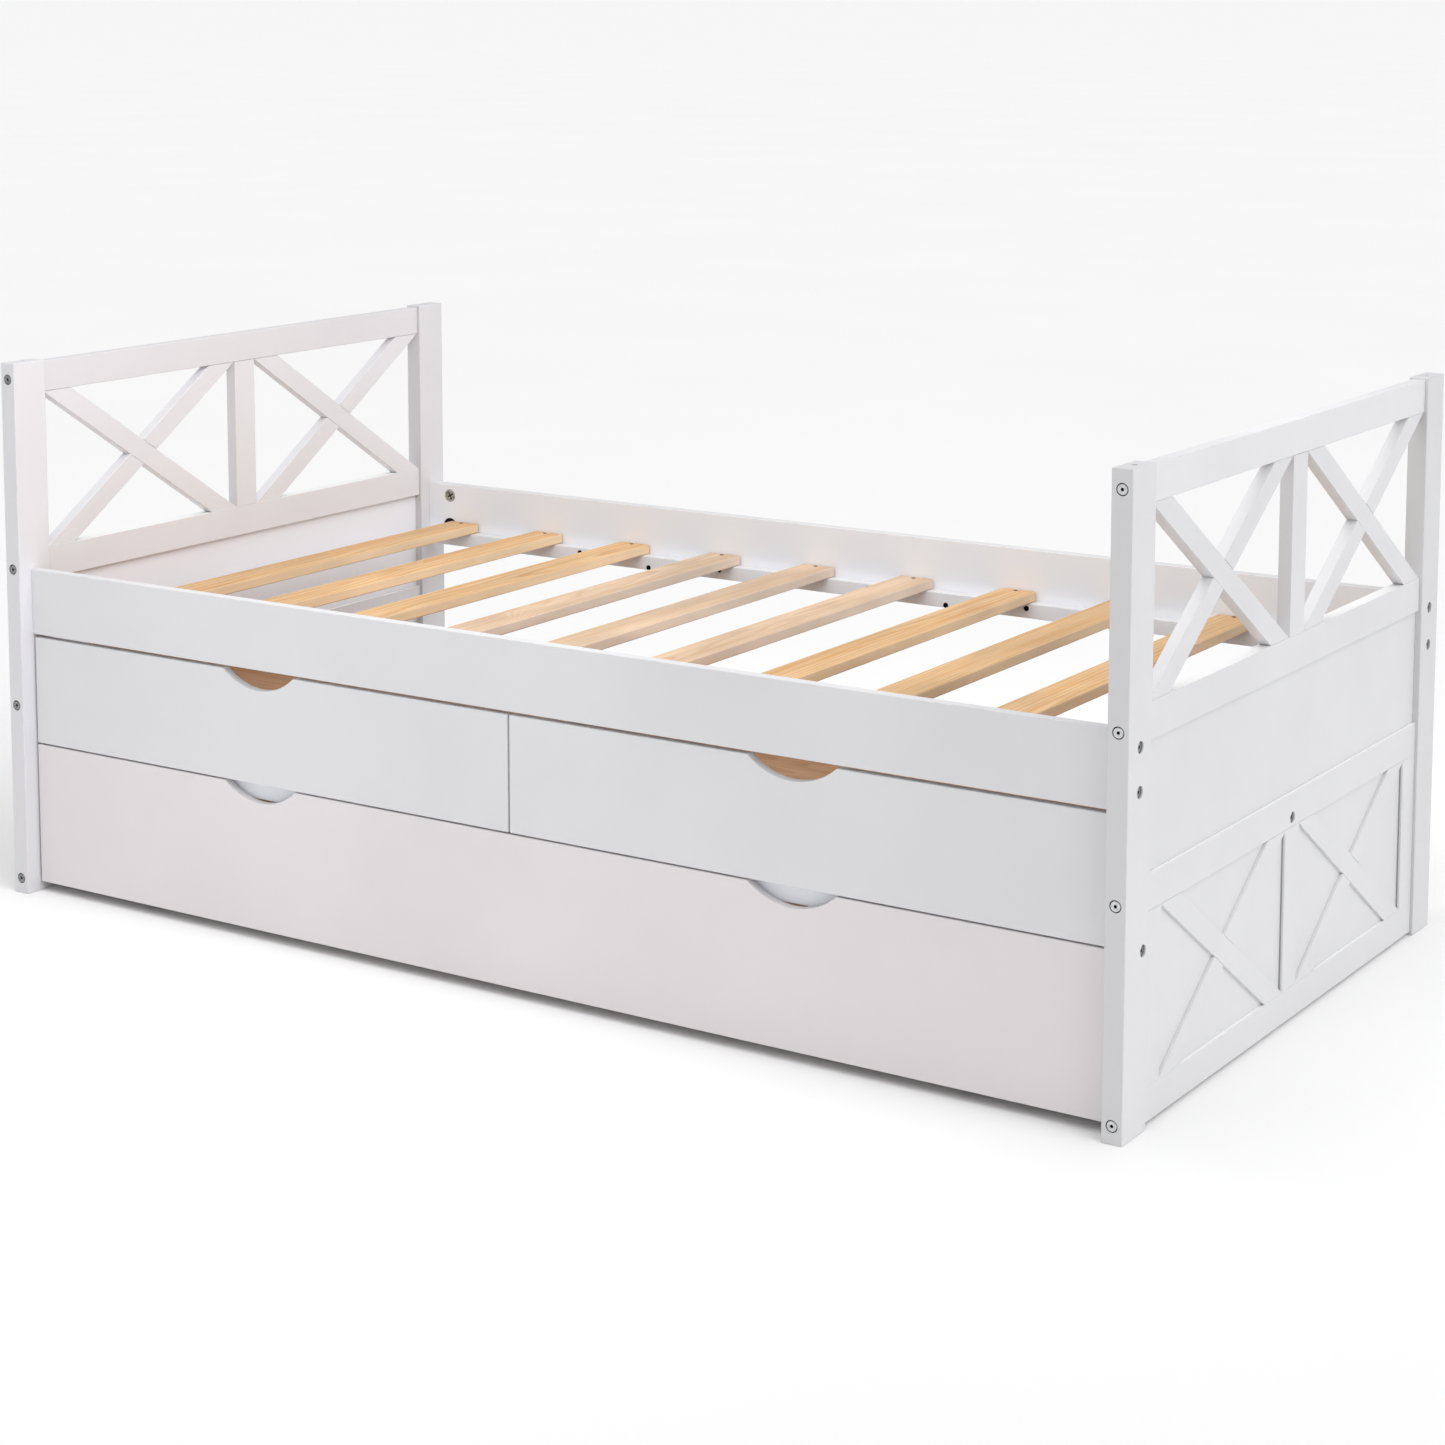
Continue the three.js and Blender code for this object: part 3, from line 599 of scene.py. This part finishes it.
def add_floor():
    shell = bmesh.new()
    bmesh.ops.create_circle(shell, cap_ends=True, segments=96, radius=FLOOR_R)
    mesh = bpy.data.meshes.new("studio_floor")
    shell.to_mesh(mesh)
    shell.free()
    mesh.materials.append(studio_floor("studio_floor"))
    floor = bpy.data.objects.new("studio_floor", mesh)
    bpy.context.scene.collection.objects.link(floor)


def add_sun(name, towards, strength, softness, tint=(1.0, 1.0, 1.0)):
    """A light at a great distance, as soft as its angle in degrees is wide."""
    light = bpy.data.lights.new(name, "SUN")
    light.energy = strength
    light.angle = math.radians(softness)
    light.color = tint
    lamp = bpy.data.objects.new(name, light)
    lamp.rotation_mode = "QUATERNION"
    lamp.rotation_quaternion = Vector(towards).to_track_quat("Z", "Y")
    bpy.context.scene.collection.objects.link(lamp)


def add_panel_light(name, place, target, size, power):
    """A soft panel hung over the bed, to open up the inside of the frame."""
    light = bpy.data.lights.new(name, "AREA")
    light.shape = "RECTANGLE"
    light.size, light.size_y = size
    light.energy = power
    lamp = bpy.data.objects.new(name, light)
    lamp.location = place
    lamp.rotation_mode = "QUATERNION"
    lamp.rotation_quaternion = (Vector(place) - Vector(target)).to_track_quat("Z", "Y")
    lamp.visible_camera = False
    bpy.context.scene.collection.objects.link(lamp)


def add_surroundings(strength, seen_strength):
    """Even white light from all round. The camera sees it a little brighter, as the backdrop."""
    world = bpy.data.worlds.new("studio")
    world.use_nodes = True
    nodes, links = world.node_tree.nodes, world.node_tree.links
    background = nodes["Background"]
    background.inputs["Color"].default_value = rgb(1.0, 1.0, 1.0)
    path = nodes.new("ShaderNodeLightPath")
    level = nodes.new("ShaderNodeMapRange")
    level.inputs["To Min"].default_value = strength
    level.inputs["To Max"].default_value = seen_strength
    links.new(path.outputs["Is Camera Ray"], level.inputs["Value"])
    links.new(level.outputs["Result"], background.inputs["Strength"])
    bpy.context.scene.world = world


def add_studio():
    add_camera()
    add_floor()
    add_surroundings(0.50, 1.0)
    add_sun("foot_side_softbox", (0.85, -0.20, 0.70), 1.0, 50)
    add_sun("overhead_softbox", (0.0, 0.0, 1.0), 0.85, 80)
    add_panel_light("front_softbox", (-0.8, -2.3, 1.3), (-0.3, -0.54, 0.3), (1.6, 1.2), 3.1)
    add_panel_light("mattress_softbox", (0.25, -0.42, 1.55), (-0.25, 0.45, 0.45), (1.7, 0.5), 7.5)
    bpy.context.scene.view_settings.view_transform = "Standard"


# ---- The painted frame ----
POST_EASE = 1.6 * MM
RAIL_EASE = 1.0 * MM
JOINED_RAIL_EASE = 0.35 * MM
LOW_FIELD_EASE = 0.5 * MM
PANEL_EASE = 0.5 * MM
SEAM = 0.5 * MM
OVERLAP = 0.02 * MM
FRONT_EASE = 1.6 * MM
SOLID_GRAIN = 0.05 * MM
BOARD_GRAIN = 0.012 * MM
# Painted light and shade: shares of the end frame's tint, matched to how bright each part looks.
# They darken the head's top rail, the back posts and the uprights' faces along Y, and lighten the foot's
# top rail.
TOP_RAIL_LIGHT_SHADE_SHARE = {"head": 0.95, "foot": 1.06}
BACK_POST_SHADE_SHARE = 0.94
NARROW_FACE_SHADE_SHARE = 0.89


def batten_tilt(node):
    """Angle of a batten in the YZ plane, from its longest edge."""
    shell = cad_shell(node)
    direction = longest_direction(shell)
    shell.free()
    return math.atan2(direction.z, direction.y)


def dress_end(end, tint):
    """One end frame: posts, rails, mullion, battens and panels."""
    # Painted light and shade: the back posts and the top rails get tints of their own, and the uprights'
    # faces along Y are darkened.
    back_post_tint = shaded_by(tint, BACK_POST_SHADE_SHARE)
    top_rail_tint = shaded_by(tint, TOP_RAIL_LIGHT_SHADE_SHARE[end])
    narrow = NARROW_FACE_SHADE_SHARE
    upright = painted(f"{end}_paint_upright", tint, Z, SOLID_GRAIN, edge_shade=narrow)
    far_upright = painted(f"{end}_paint_far_upright", back_post_tint, Z, SOLID_GRAIN, edge_shade=narrow)
    high_level = painted(f"{end}_paint_high_level", top_rail_tint, Y, SOLID_GRAIN)
    # Painted highlight: a lighter tint on the rails' faces that look up.
    level = painted(f"{end}_paint_level", tint, Y, SOLID_GRAIN, one_side=(Z, 1, LEDGE_HIGHLIGHT_WHITE))
    board = painted(f"{end}_paint_board", tint, Y, BOARD_GRAIN)
    # Painted light: a lighter tint on the head panel's inner face, which lies in shade inside the frame.
    inner_side = (X, 1, LIT_HEAD_PANEL_WHITE) if end == "head" else None
    high_board = painted(f"{end}_paint_high_board", tint, Y, BOARD_GRAIN, one_side=inner_side)
    for side, post_paint in (("front", upright), ("back", far_upright)):
        finished(f"{end}_{side}_post", "painted", post_paint, POST_EASE)
        for kind in ("falling", "rising"):
            node = f"{end}_{side}_{kind}_batten"
            slanted = painted(f"{node}_paint", tint, Y, SOLID_GRAIN, tilt=-batten_tilt(node))
            finished(node, "painted", slanted, RAIL_EASE, along="longest")
    finished(f"{end}_top_rail", "painted", high_level, RAIL_EASE, along="longest")
    for rail in ("mid", "low", "bottom"):
        finished(f"{end}_{rail}_rail", "painted", level, JOINED_RAIL_EASE, along="longest")
    finished(f"{end}_mullion", "painted", upright, RAIL_EASE, along="longest")
    panel = f"{end}_upper_panel"
    finished(panel, "painted", high_board, PANEL_EASE, inside=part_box(panel))
    build_lower_panel(end, board, upright, tint)


def field_corners(node):
    """Corners (y, z) of the eight sunk triangles of a lower panel, from its shape."""
    shell = cad_shell(node)
    low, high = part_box(node)
    outer = max(abs(low.x), abs(high.x))
    fields = []
    for face in shell.faces:
        flat = abs(face.normal.x) > 0.99
        if len(face.verts) == 3 and flat and abs(face.verts[0].co.x) < outer - 1 * MM:
            fields.append([(vertex.co.y, vertex.co.z) for vertex in face.verts])
            floor_x = face.verts[0].co.x
    shell.free()
    return fields, floor_x


def add_prism(shell, outline, x_low, x_high):
    """Upright slab with the outline (y, z), anticlockwise as seen from +X."""
    lower = [shell.verts.new((x_low, y, z)) for y, z in outline]
    upper = [shell.verts.new((x_high, y, z)) for y, z in outline]
    shell.faces.new(upper)
    shell.faces.new(list(reversed(lower)))
    for i in range(len(outline)):
        j = (i + 1) % len(outline)
        shell.faces.new([lower[i], lower[j], upper[j], upper[i]])


def batten_outlines(fields, low, high):
    """One bay's falling batten in one length, and the rising one in two halves beside it."""
    inner, outer = (sorted((f for f in fields if len({round(y, 4) for y, z in f}) == 2),
                           key=lambda f: sum(y for y, z in f)))
    bottom, top = (sorted((f for f in fields if len({round(z, 4) for y, z in f}) == 2),
                          key=lambda f: sum(z for y, z in f)))
    left = min(y for y, z in inner)
    right = max(y for y, z in outer)
    inner_tip = max(inner)
    outer_tip = min(outer)
    top_tip = min(top, key=lambda p: p[1])
    bottom_tip = max(bottom, key=lambda p: p[1])
    falling = [
        (left, high.z), (left, max(z for y, z in inner)), inner_tip, bottom_tip,
        (max(y for y, z in bottom), low.z), (right, low.z), (right, min(z for y, z in outer)),
        outer_tip, top_tip, (min(y for y, z in top), high.z),
    ]
    gap = SEAM / 2
    lower_half = [(left, min(z for y, z in inner)), (left, low.z), (min(y for y, z in bottom), low.z),
                  (bottom_tip[0] - gap, bottom_tip[1] - gap), (inner_tip[0] - gap, inner_tip[1] - gap)]
    upper_half = [(right, max(z for y, z in outer)), (right, high.z), (max(y for y, z in top), high.z),
                  (top_tip[0] + gap, top_tip[1] + gap), (outer_tip[0] + gap, outer_tip[1] + gap)]
    return falling, lower_half, upper_half


def build_lower_panel(end, board, upright, tint):
    """A thin board with the cross battens and uprights laid on it, eased beside the sunk fields."""
    node = f"{end}_lower_panel"
    low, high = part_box(node)
    fields, floor_x = field_corners(node)
    outward = 1 if high.x > 0 else -1
    face_x = high.x if outward > 0 else low.x
    back_x = low.x if outward > 0 else high.x
    backing = bmesh.new()
    add_prism(backing, [(low.y, low.z), (high.y, low.z), (high.y, high.z), (low.y, high.z)],
              min(floor_x, back_x), max(floor_x, back_x))
    made = piece(f"{node}_backing", backing, [board], BODY_OF[node])
    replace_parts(made, node)
    strip_x = sorted((floor_x + outward * OVERLAP, face_x))
    bays = [[f for f in fields if way * sum(y for y, z in f) > 0] for way in (-1, 1)]
    uprights = bmesh.new()
    inner_y = min(y for f in bays[1] for y, z in f) - OVERLAP
    outer_y = max(y for f in bays[1] for y, z in f) + OVERLAP
    for y_low, y_high in ((low.y, -outer_y), (-inner_y, inner_y), (outer_y, high.y)):
        corners = [(y_low, low.z), (y_high, low.z), (y_high, high.z), (y_low, high.z)]
        add_prism(uprights, corners, *strip_x)
    ease(uprights, LOW_FIELD_EASE, outer_edges(uprights, LOW_FIELD_EASE, inside=(low, high)))
    piece(f"{end}_lower_uprights", uprights, [upright], BODY_OF[node])
    for bay, name in zip(bays, ("front", "back"), strict=True):
        falling, lower_half, upper_half = batten_outlines(bay, low, high)
        slope = math.atan2(falling[1][1] - falling[2][1], falling[2][0] - falling[1][0])
        for ending, outlines, tilt in (("falling", [falling], slope),
                                       ("rising", [lower_half, upper_half], -slope)):
            battens = bmesh.new()
            for outline in outlines:
                add_prism(battens, outline, *strip_x)
            bmesh.ops.recalc_face_normals(battens, faces=battens.faces)
            easy = outer_edges(battens, LOW_FIELD_EASE, inside=(low, high))
            ease(battens, LOW_FIELD_EASE, easy)
            slanted = painted(f"{end}_lower_{name}_{ending}_paint", tint, Y, SOLID_GRAIN, tilt=tilt)
            piece(f"{end}_lower_{name}_{ending}_batten", battens, [slanted], BODY_OF[node])


def dress_long_parts():
    """Side rails, cleats, the shelf's rail and beam: all run the length of the bed."""
    board = painted("long_paint_board", COOL_WHITE, X, BOARD_GRAIN)
    solid = painted("long_paint_solid", COOL_WHITE, X, SOLID_GRAIN)
    # Painted light: a lighter tint on the faces that look forward (-Y), which lie in shade inside the
    # frame.
    inner = painted("long_paint_inner", COOL_WHITE, X, BOARD_GRAIN, one_side=(Y, -1, LIT_INNER_WHITE))
    finished("front_side_rail", "painted", board, FRONT_EASE, along="longest")
    finished("back_side_rail", "painted", inner, FRONT_EASE, along="longest")
    for node in ("front_slat_cleat", "back_slat_cleat", "shelf_front_rail"):
        finished(node, "painted", inner, RAIL_EASE, along="longest")
    finished("centre_beam", "painted", solid, RAIL_EASE, along="longest")


def dress_fronts():
    drawer_paint = painted("drawer_front_paint", COOL_WHITE, X, BOARD_GRAIN)
    trundle_paint = painted("trundle_front_paint", WARM_WHITE, X, BOARD_GRAIN)
    for side in ("left", "right"):
        finished(f"{side}_drawer_front", "painted", drawer_paint, FRONT_EASE)
    finished("trundle_front", "painted", trundle_paint, FRONT_EASE)
    # Painted light on the tray's faces that look forward (-Y), which lie in shade behind the front.
    tray_paint = painted("tray_paint", COOL_WHITE, X, BOARD_GRAIN, one_side=(Y, -1, LIT_INNER_WHITE))
    finished("trundle_tray", "painted", tray_paint, RAIL_EASE)


# ---- Bare wood ----
SLAT_EASE = 2.2 * MM
PINE_EARLY = rgb(0.730, 0.500, 0.280)
PINE_LATE = rgb(0.600, 0.325, 0.125)
PALE_EARLY = rgb(0.700, 0.525, 0.370)
PALE_LATE = rgb(0.590, 0.400, 0.265)


def middle_of(node, axis):
    low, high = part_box(node)
    return (low[axis] + high[axis]) / 2


def dress_slats():
    slats = sorted((n for n in frame["nodes"] if n.startswith("slat_")), key=lambda n: int(n[5:]))
    first = middle_of(slats[0], X)
    pitch = middle_of(slats[1], X) - first
    height = middle_of(slats[0], Z)
    woods = {
        "pine": pine("slat_pine", PINE_EARLY, PINE_LATE, (first, pitch), height, 6.0 * MM),
        "pale_pine": pine("slat_pale_pine", PALE_EARLY, PALE_LATE, (first, pitch), height, 3.4 * MM),
    }
    for node in slats:
        finished(node, "planed", woods[SLOT_OF[node]], SLAT_EASE)
    return slats


def dress_shelf_and_drawers():
    flat = plywood("plywood_flat", X, Z)
    side_wood = plywood("plywood_sides", Y, X)
    back_wood = plywood("plywood_back", X, Y)
    finished("drawer_shelf", "board", flat, 0.5 * MM)
    for side in ("left", "right"):
        finished(f"{side}_drawer_bottom", "board", flat, 0.4 * MM)
        build_drawer_box(side, side_wood, back_wood)


def build_drawer_box(side, side_wood, back_wood):
    """Two sides and a back, as separate boards."""
    node = f"{side}_drawer_box"
    low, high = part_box(node)
    t = DRAWER_SIDE_THICK
    gap = DRAWER_BOARD_GAP
    sides = bmesh.new()
    add_board(sides, low, (low.x + t, high.y, high.z))
    add_board(sides, (high.x - t, low.y, low.z), high)
    ease(sides, DRAWER_BOARD_EASE, list(sides.edges))
    made = piece(f"{side}_drawer_sides", sides, [side_wood], BODY_OF[node])
    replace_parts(made, node)
    back = bmesh.new()
    add_board(back, (low.x + t + gap, high.y - t, low.z), (high.x - t - gap, high.y, high.z))
    ease(back, DRAWER_BOARD_EASE, list(back.edges))
    piece(f"{side}_drawer_back", back, [back_wood], BODY_OF[node])


def build_trundle_slats():
    """Loose pine slats on two webbing straps that sag a little between them."""
    node = "trundle_slat_mat"
    low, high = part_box(node)
    pitch = (high.x - low.x - TRUNDLE_SLAT_WIDE) / (TRUNDLE_SLATS - 1)
    bottom = high.z - TRUNDLE_SLAT_THICK
    first = low.x + TRUNDLE_SLAT_WIDE / 2
    slats = bmesh.new()
    for i in range(TRUNDLE_SLATS):
        left = low.x + i * pitch
        add_board(slats, (left, low.y, bottom), (left + TRUNDLE_SLAT_WIDE, high.y, high.z))
    ease(slats, SLAT_EASE, list(slats.edges))
    wood = pine("trundle_pine", PINE_EARLY, PINE_LATE, (first, pitch), (bottom + high.z) / 2)
    made = piece("trundle_slats", slats, [wood], BODY_OF[node])
    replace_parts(made, node)
    straps = bmesh.new()
    for y in (-STRAP_Y, STRAP_Y):
        add_strap(straps, low.x, high.x, pitch, y, bottom)
    piece("trundle_slat_straps", straps, [webbing("strap_webbing")], BODY_OF[node])


def add_strap(shell, start, end, pitch, y, top):
    """One strap under the slats, hanging in a shallow curve in each gap."""
    count = round((end - start) / pitch * STRAP_STEPS_PER_PITCH)
    half = STRAP_WIDE / 2
    loops = []
    for i in range(count + 1):
        x = start + (end - start) * i / count
        into = ((x - start) % pitch) / pitch
        held = TRUNDLE_SLAT_WIDE / pitch
        free = max(0.0, (into - held) / (1 - held))
        sag = STRAP_SAG * 4 * free * (1 - free)
        z = top - 0.05 * MM - sag
        under = z - STRAP_THICK
        loops.append([Vector((x, y - half, under)), Vector((x, y + half, under)),
                      Vector((x, y + half, z)), Vector((x, y - half, z))])
    skin(shell, loops, Matrix.Identity(4))


# ---- Bolts, nuts and screws ----
def build_end_bolts(end, zinc, shaded_zinc, black):
    """All the connector bolts of one end frame."""
    outward = 1 if end == "foot" else -1
    spots = []
    for side, facing in (("front", -1), ("back", 1)):
        low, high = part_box(f"{end}_{side}_post")
        face_y = low.y if facing < 0 else high.y
        face_x = high.x if outward > 0 else low.x
        post_x = middle_of(f"{end}_{side}_post", X)
        spots += [((post_x, face_y, z), (0, facing, 0)) for z in BOLT_HEIGHTS]
        rail_y = middle_of(f"{side}_side_rail", Y)
        spots += [((face_x, rail_y, z), (outward, 0, 0)) for z in SIDE_RAIL_BOLT_HEIGHTS]
        if side == "front":
            shelf_y = middle_of("shelf_front_rail", Y)
            spots.append(((face_x, shelf_y, SHELF_RAIL_BOLT_HEIGHT), (outward, 0, 0)))
    low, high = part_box(f"{end}_low_rail")
    spots.append(((high.x if outward > 0 else low.x, 0.0, BEAM_BOLT_HEIGHT), (outward, 0, 0)))
    front, side_faces = bmesh.new(), bmesh.new()
    for i, (point, direction) in enumerate(spots):
        if direction[X] != 0:
            add_bolt(side_faces, point, direction, 0.9 * i, SIDE_BOLT_SUNK)
        else:
            add_bolt(front, point, direction, 0.9 * i, FRONT_BOLT_SUNK)
    # Painted shade: the head end's post bolts and all bolts in the side faces take the darker copy of
    # the zinc.
    post_zinc = shaded_zinc if end == "head" else zinc
    piece(f"{end}_post_bolts", front, [post_zinc, black], "bed_frame")
    piece(f"{end}_rail_bolts", side_faces, [shaded_zinc, black], "bed_frame")


def add_flange(shell, place, radius, material):
    """Thin ring round a nut's hole, lying on the face of the rail: a pressed flange in metal, and in
    black a painted shadow round a sunk nut.
    """
    hole = NUT_R + 0.2 * MM
    thick = NUT_FLANGE_THICK
    section = [(hole, 0.05 * MM), (radius, 0.05 * MM), (radius, 0.4 * thick),
               (radius - 0.8 * MM, thick), (hole + 0.8 * MM, thick), (hole, 0.5 * thick)]
    loops = [[shell.verts.new(place @ point) for point in circle(r, height)] for r, height in section]
    for loop, following in zip(loops, loops[1:] + loops[:1]):
        for i in range(ROUND_STEPS):
            j = (i + 1) % ROUND_STEPS
            face = shell.faces.new([loop[i], loop[j], following[j], following[i]])
            face.material_index = material


def build_barrel_nuts(nickel, black):
    """Cross-slotted barrel nuts in the holes inside the side rails."""
    for side, inward in (("front", 1), ("back", -1)):
        low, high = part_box(f"{side}_side_rail")
        face_y = high.y if inward > 0 else low.y
        shell = bmesh.new()
        spots = [(x, z) for x in (low.x + NUT_FROM_RAIL_END, high.x - NUT_FROM_RAIL_END)
                 for z in SIDE_RAIL_BOLT_HEIGHTS]
        for i, (x, z) in enumerate(spots):
            upper = z == max(SIDE_RAIL_BOLT_HEIGHTS)
            sink = -UPPER_NUT_PROUD if upper else LOW_NUT_SUNK
            place = looking((x, face_y - inward * sink, z), (0, inward, 0), spin=0.5 + 0.35 * i)
            add_cross_head(shell, place, NUT_R, NUT_SLOT_HALF, NUT_SLOT_DEEP, NUT_LONG)
            # The upper nuts get a pressed flange. Round the sunk lower nuts a wide black ring is painted
            # shade of the deep hole.
            flange_or_shadow_r = NUT_FLANGE_R if upper else LOW_NUT_SHADOW_R
            add_flange(shell, looking((x, face_y, z), (0, inward, 0)), flange_or_shadow_r, 0 if upper else 1)
        piece(f"{side}_barrel_nuts", shell, [nickel, black], "bed_frame")


def build_slat_screws(slats, bronze, black):
    """One small cross-head screw near each end of each slat."""
    shell = bmesh.new()
    for i, node in enumerate(slats):
        low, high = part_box(node)
        for end, y in enumerate((low.y + SLAT_SCREW_IN, high.y - SLAT_SCREW_IN)):
            point = ((low.x + high.x) / 2, y, high.z)
            add_screw(shell, point, (0, 0, 1), 0.8 * i + end, SLAT_SCREW_R)
    piece("slat_screws", shell, [bronze, black], "bed_frame")


def build_cleat_screws(black):
    """Dark screws through the cleats into the side rails, in a staggered row."""
    shell = bmesh.new()
    for side, inward in (("front", 1), ("back", -1)):
        low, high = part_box(f"{side}_slat_cleat")
        face_y = high.y if inward > 0 else low.y
        middle = (low.z + high.z) / 2
        for i in range(-CLEAT_SCREWS_EACH_WAY, CLEAT_SCREWS_EACH_WAY + 1):
            x = CLEAT_SCREW_SHIFT + i * CLEAT_SCREW_PITCH
            z = middle + CLEAT_SCREW_OFFSETS[i % 2]
            add_screw(shell, (x, face_y, z), (0, inward, 0), 1.1 * i, CLEAT_SCREW_R)
    piece("cleat_screws", shell, [black, black], "bed_frame")


def build_drawer_screws(side, zinc, black):
    """Screws through the drawer's sides into its back and into the front's edge."""
    low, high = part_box(f"{side}_drawer_box")
    shell = bmesh.new()
    for x, outward in ((low.x, -1), (high.x, 1)):
        for y in (low.y + DRAWER_SCREW_FROM_FRONT, high.y - DRAWER_SIDE_THICK / 2):
            for z in (low.z + DRAWER_SCREW_FROM_EDGE, high.z - DRAWER_SCREW_FROM_EDGE):
                add_screw(shell, (x, y, z), (outward, 0, 0), 40 * z, DRAWER_SCREW_R)
    piece(f"{side}_drawer_screws", shell, [zinc, black], BODY_OF[f"{side}_drawer_box"])


def build_wheel(node, rubber):
    """Turned wheel: crowned tread, round shoulders and a sunk web round its hub."""
    low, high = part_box(node)
    radius = (high.z - low.z) / 2
    half = (high.x - low.x) / 2
    bore, hub = WHEEL_BORE_R, WHEEL_HUB_R
    section = [
        (bore, -half + 1.0 * MM), (bore + 0.8 * MM, -half), (hub - 0.5 * MM, -half),
        (hub, -half + 0.5 * MM), (hub + 0.6 * MM, -half + 3.0 * MM),
        (radius - 6.0 * MM, -half + 3.0 * MM), (radius - 5.0 * MM, -half + 0.6 * MM),
        (radius - 3.0 * MM, -half), (radius - 1.2 * MM, -half + 1.0 * MM),
        (radius - 0.3 * MM, -half + 3.0 * MM), (radius, 0.0),
    ]
    section += [(r, -h) for r, h in reversed(section[:-1])]
    shell = bmesh.new()
    to_axle = Matrix.Translation(((low.x + high.x) / 2, (low.y + high.y) / 2, (low.z + high.z) / 2))
    rings = []
    for i in range(WHEEL_STEPS):
        angle = 2 * math.pi * i / WHEEL_STEPS
        spoke = [Vector((h, r * math.cos(angle), r * math.sin(angle))) for r, h in section]
        rings.append([shell.verts.new(to_axle @ point) for point in spoke])
    for ring, following in zip(rings, rings[1:] + rings[:1]):
        for i in range(len(section)):
            j = (i + 1) % len(section)
            shell.faces.new([ring[i], ring[j], following[j], following[i]])
    bmesh.ops.recalc_face_normals(shell, faces=shell.faces)
    made = piece(f"{node}_tyre", shell, [rubber], BODY_OF[node])
    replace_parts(made, node)


def build_casters(zinc, black):
    """Forks with riveted axle ends and the screws of their plates, and the wheels in them."""
    rubber = nylon("caster_nylon")
    hardware = bmesh.new()
    for end in ("head", "foot"):
        for side in ("front", "back"):
            fork = f"{end}_{side}_caster_fork"
            finished(fork, "pressed", zinc, 0.5 * MM)
            build_wheel(f"{end}_{side}_wheel", rubber)
            low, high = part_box(fork)
            wheel_low, wheel_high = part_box(f"{end}_{side}_wheel")
            axle_z = (wheel_low.z + wheel_high.z) / 2
            middle = (low + high) / 2
            cheek = (wheel_high.x - wheel_low.x) / 2 + CASTER_CHEEK_BESIDE_WHEEL
            for outward in (-1, 1):
                place = looking((middle.x + outward * cheek, middle.y, axle_z), (outward, 0, 0))
                dome = [circle(4.6 * MM, 0.0), circle(4.3 * MM, 0.8 * MM), circle(3.2 * MM, 1.5 * MM),
                        circle(1.5 * MM, 1.8 * MM)]
                skin(hardware, dome, place)
                for along in (-1, 1):
                    spot = (middle.x + outward * CASTER_SCREW_X, middle.y + along * CASTER_SCREW_Y,
                            high.z - CASTER_PLATE_THICK)
                    add_screw(hardware, spot, (0, 0, -1), along, CASTER_SCREW_R)
    piece("caster_rivets_and_screws", hardware, [zinc, black], "trundle")


def build_bed():
    dress_end("head", ROSE_WHITE)
    dress_end("foot", COOL_WHITE)
    dress_long_parts()
    dress_fronts()
    slats = dress_slats()
    dress_shelf_and_drawers()
    build_trundle_slats()
    zinc = metal("zinc_plate", rgb(0.72, 0.73, 0.74), rgb(0.50, 0.51, 0.52), 0.26)
    nickel = metal("mottled_nickel", rgb(0.62, 0.59, 0.53), rgb(0.17, 0.165, 0.155), 0.34)
    bronze = metal("bronzed_steel", rgb(0.34, 0.24, 0.16), rgb(0.20, 0.14, 0.10), 0.46)
    # Black: the cleat screws' own colour, and painted shade in slots, sockets, bores and round the sunk
    # nuts.
    black = metal("black_oxide_and_shade", rgb(0.022, 0.022, 0.024), rgb(0.010, 0.010, 0.011), 0.55)
    # A darker copy of the zinc plate: painted shade for the bolts that look darker in this light.
    shaded_zinc = metal("shaded_zinc_plate", rgb(0.36, 0.37, 0.38), rgb(0.16, 0.165, 0.17), 0.40)
    build_end_bolts("head", zinc, shaded_zinc, black)
    build_end_bolts("foot", zinc, shaded_zinc, black)
    build_barrel_nuts(nickel, black)
    build_slat_screws(slats, bronze, black)
    build_cleat_screws(black)
    for side in ("left", "right"):
        build_drawer_screws(side, zinc, black)
    build_casters(zinc, black)


add_studio()
build_bed()
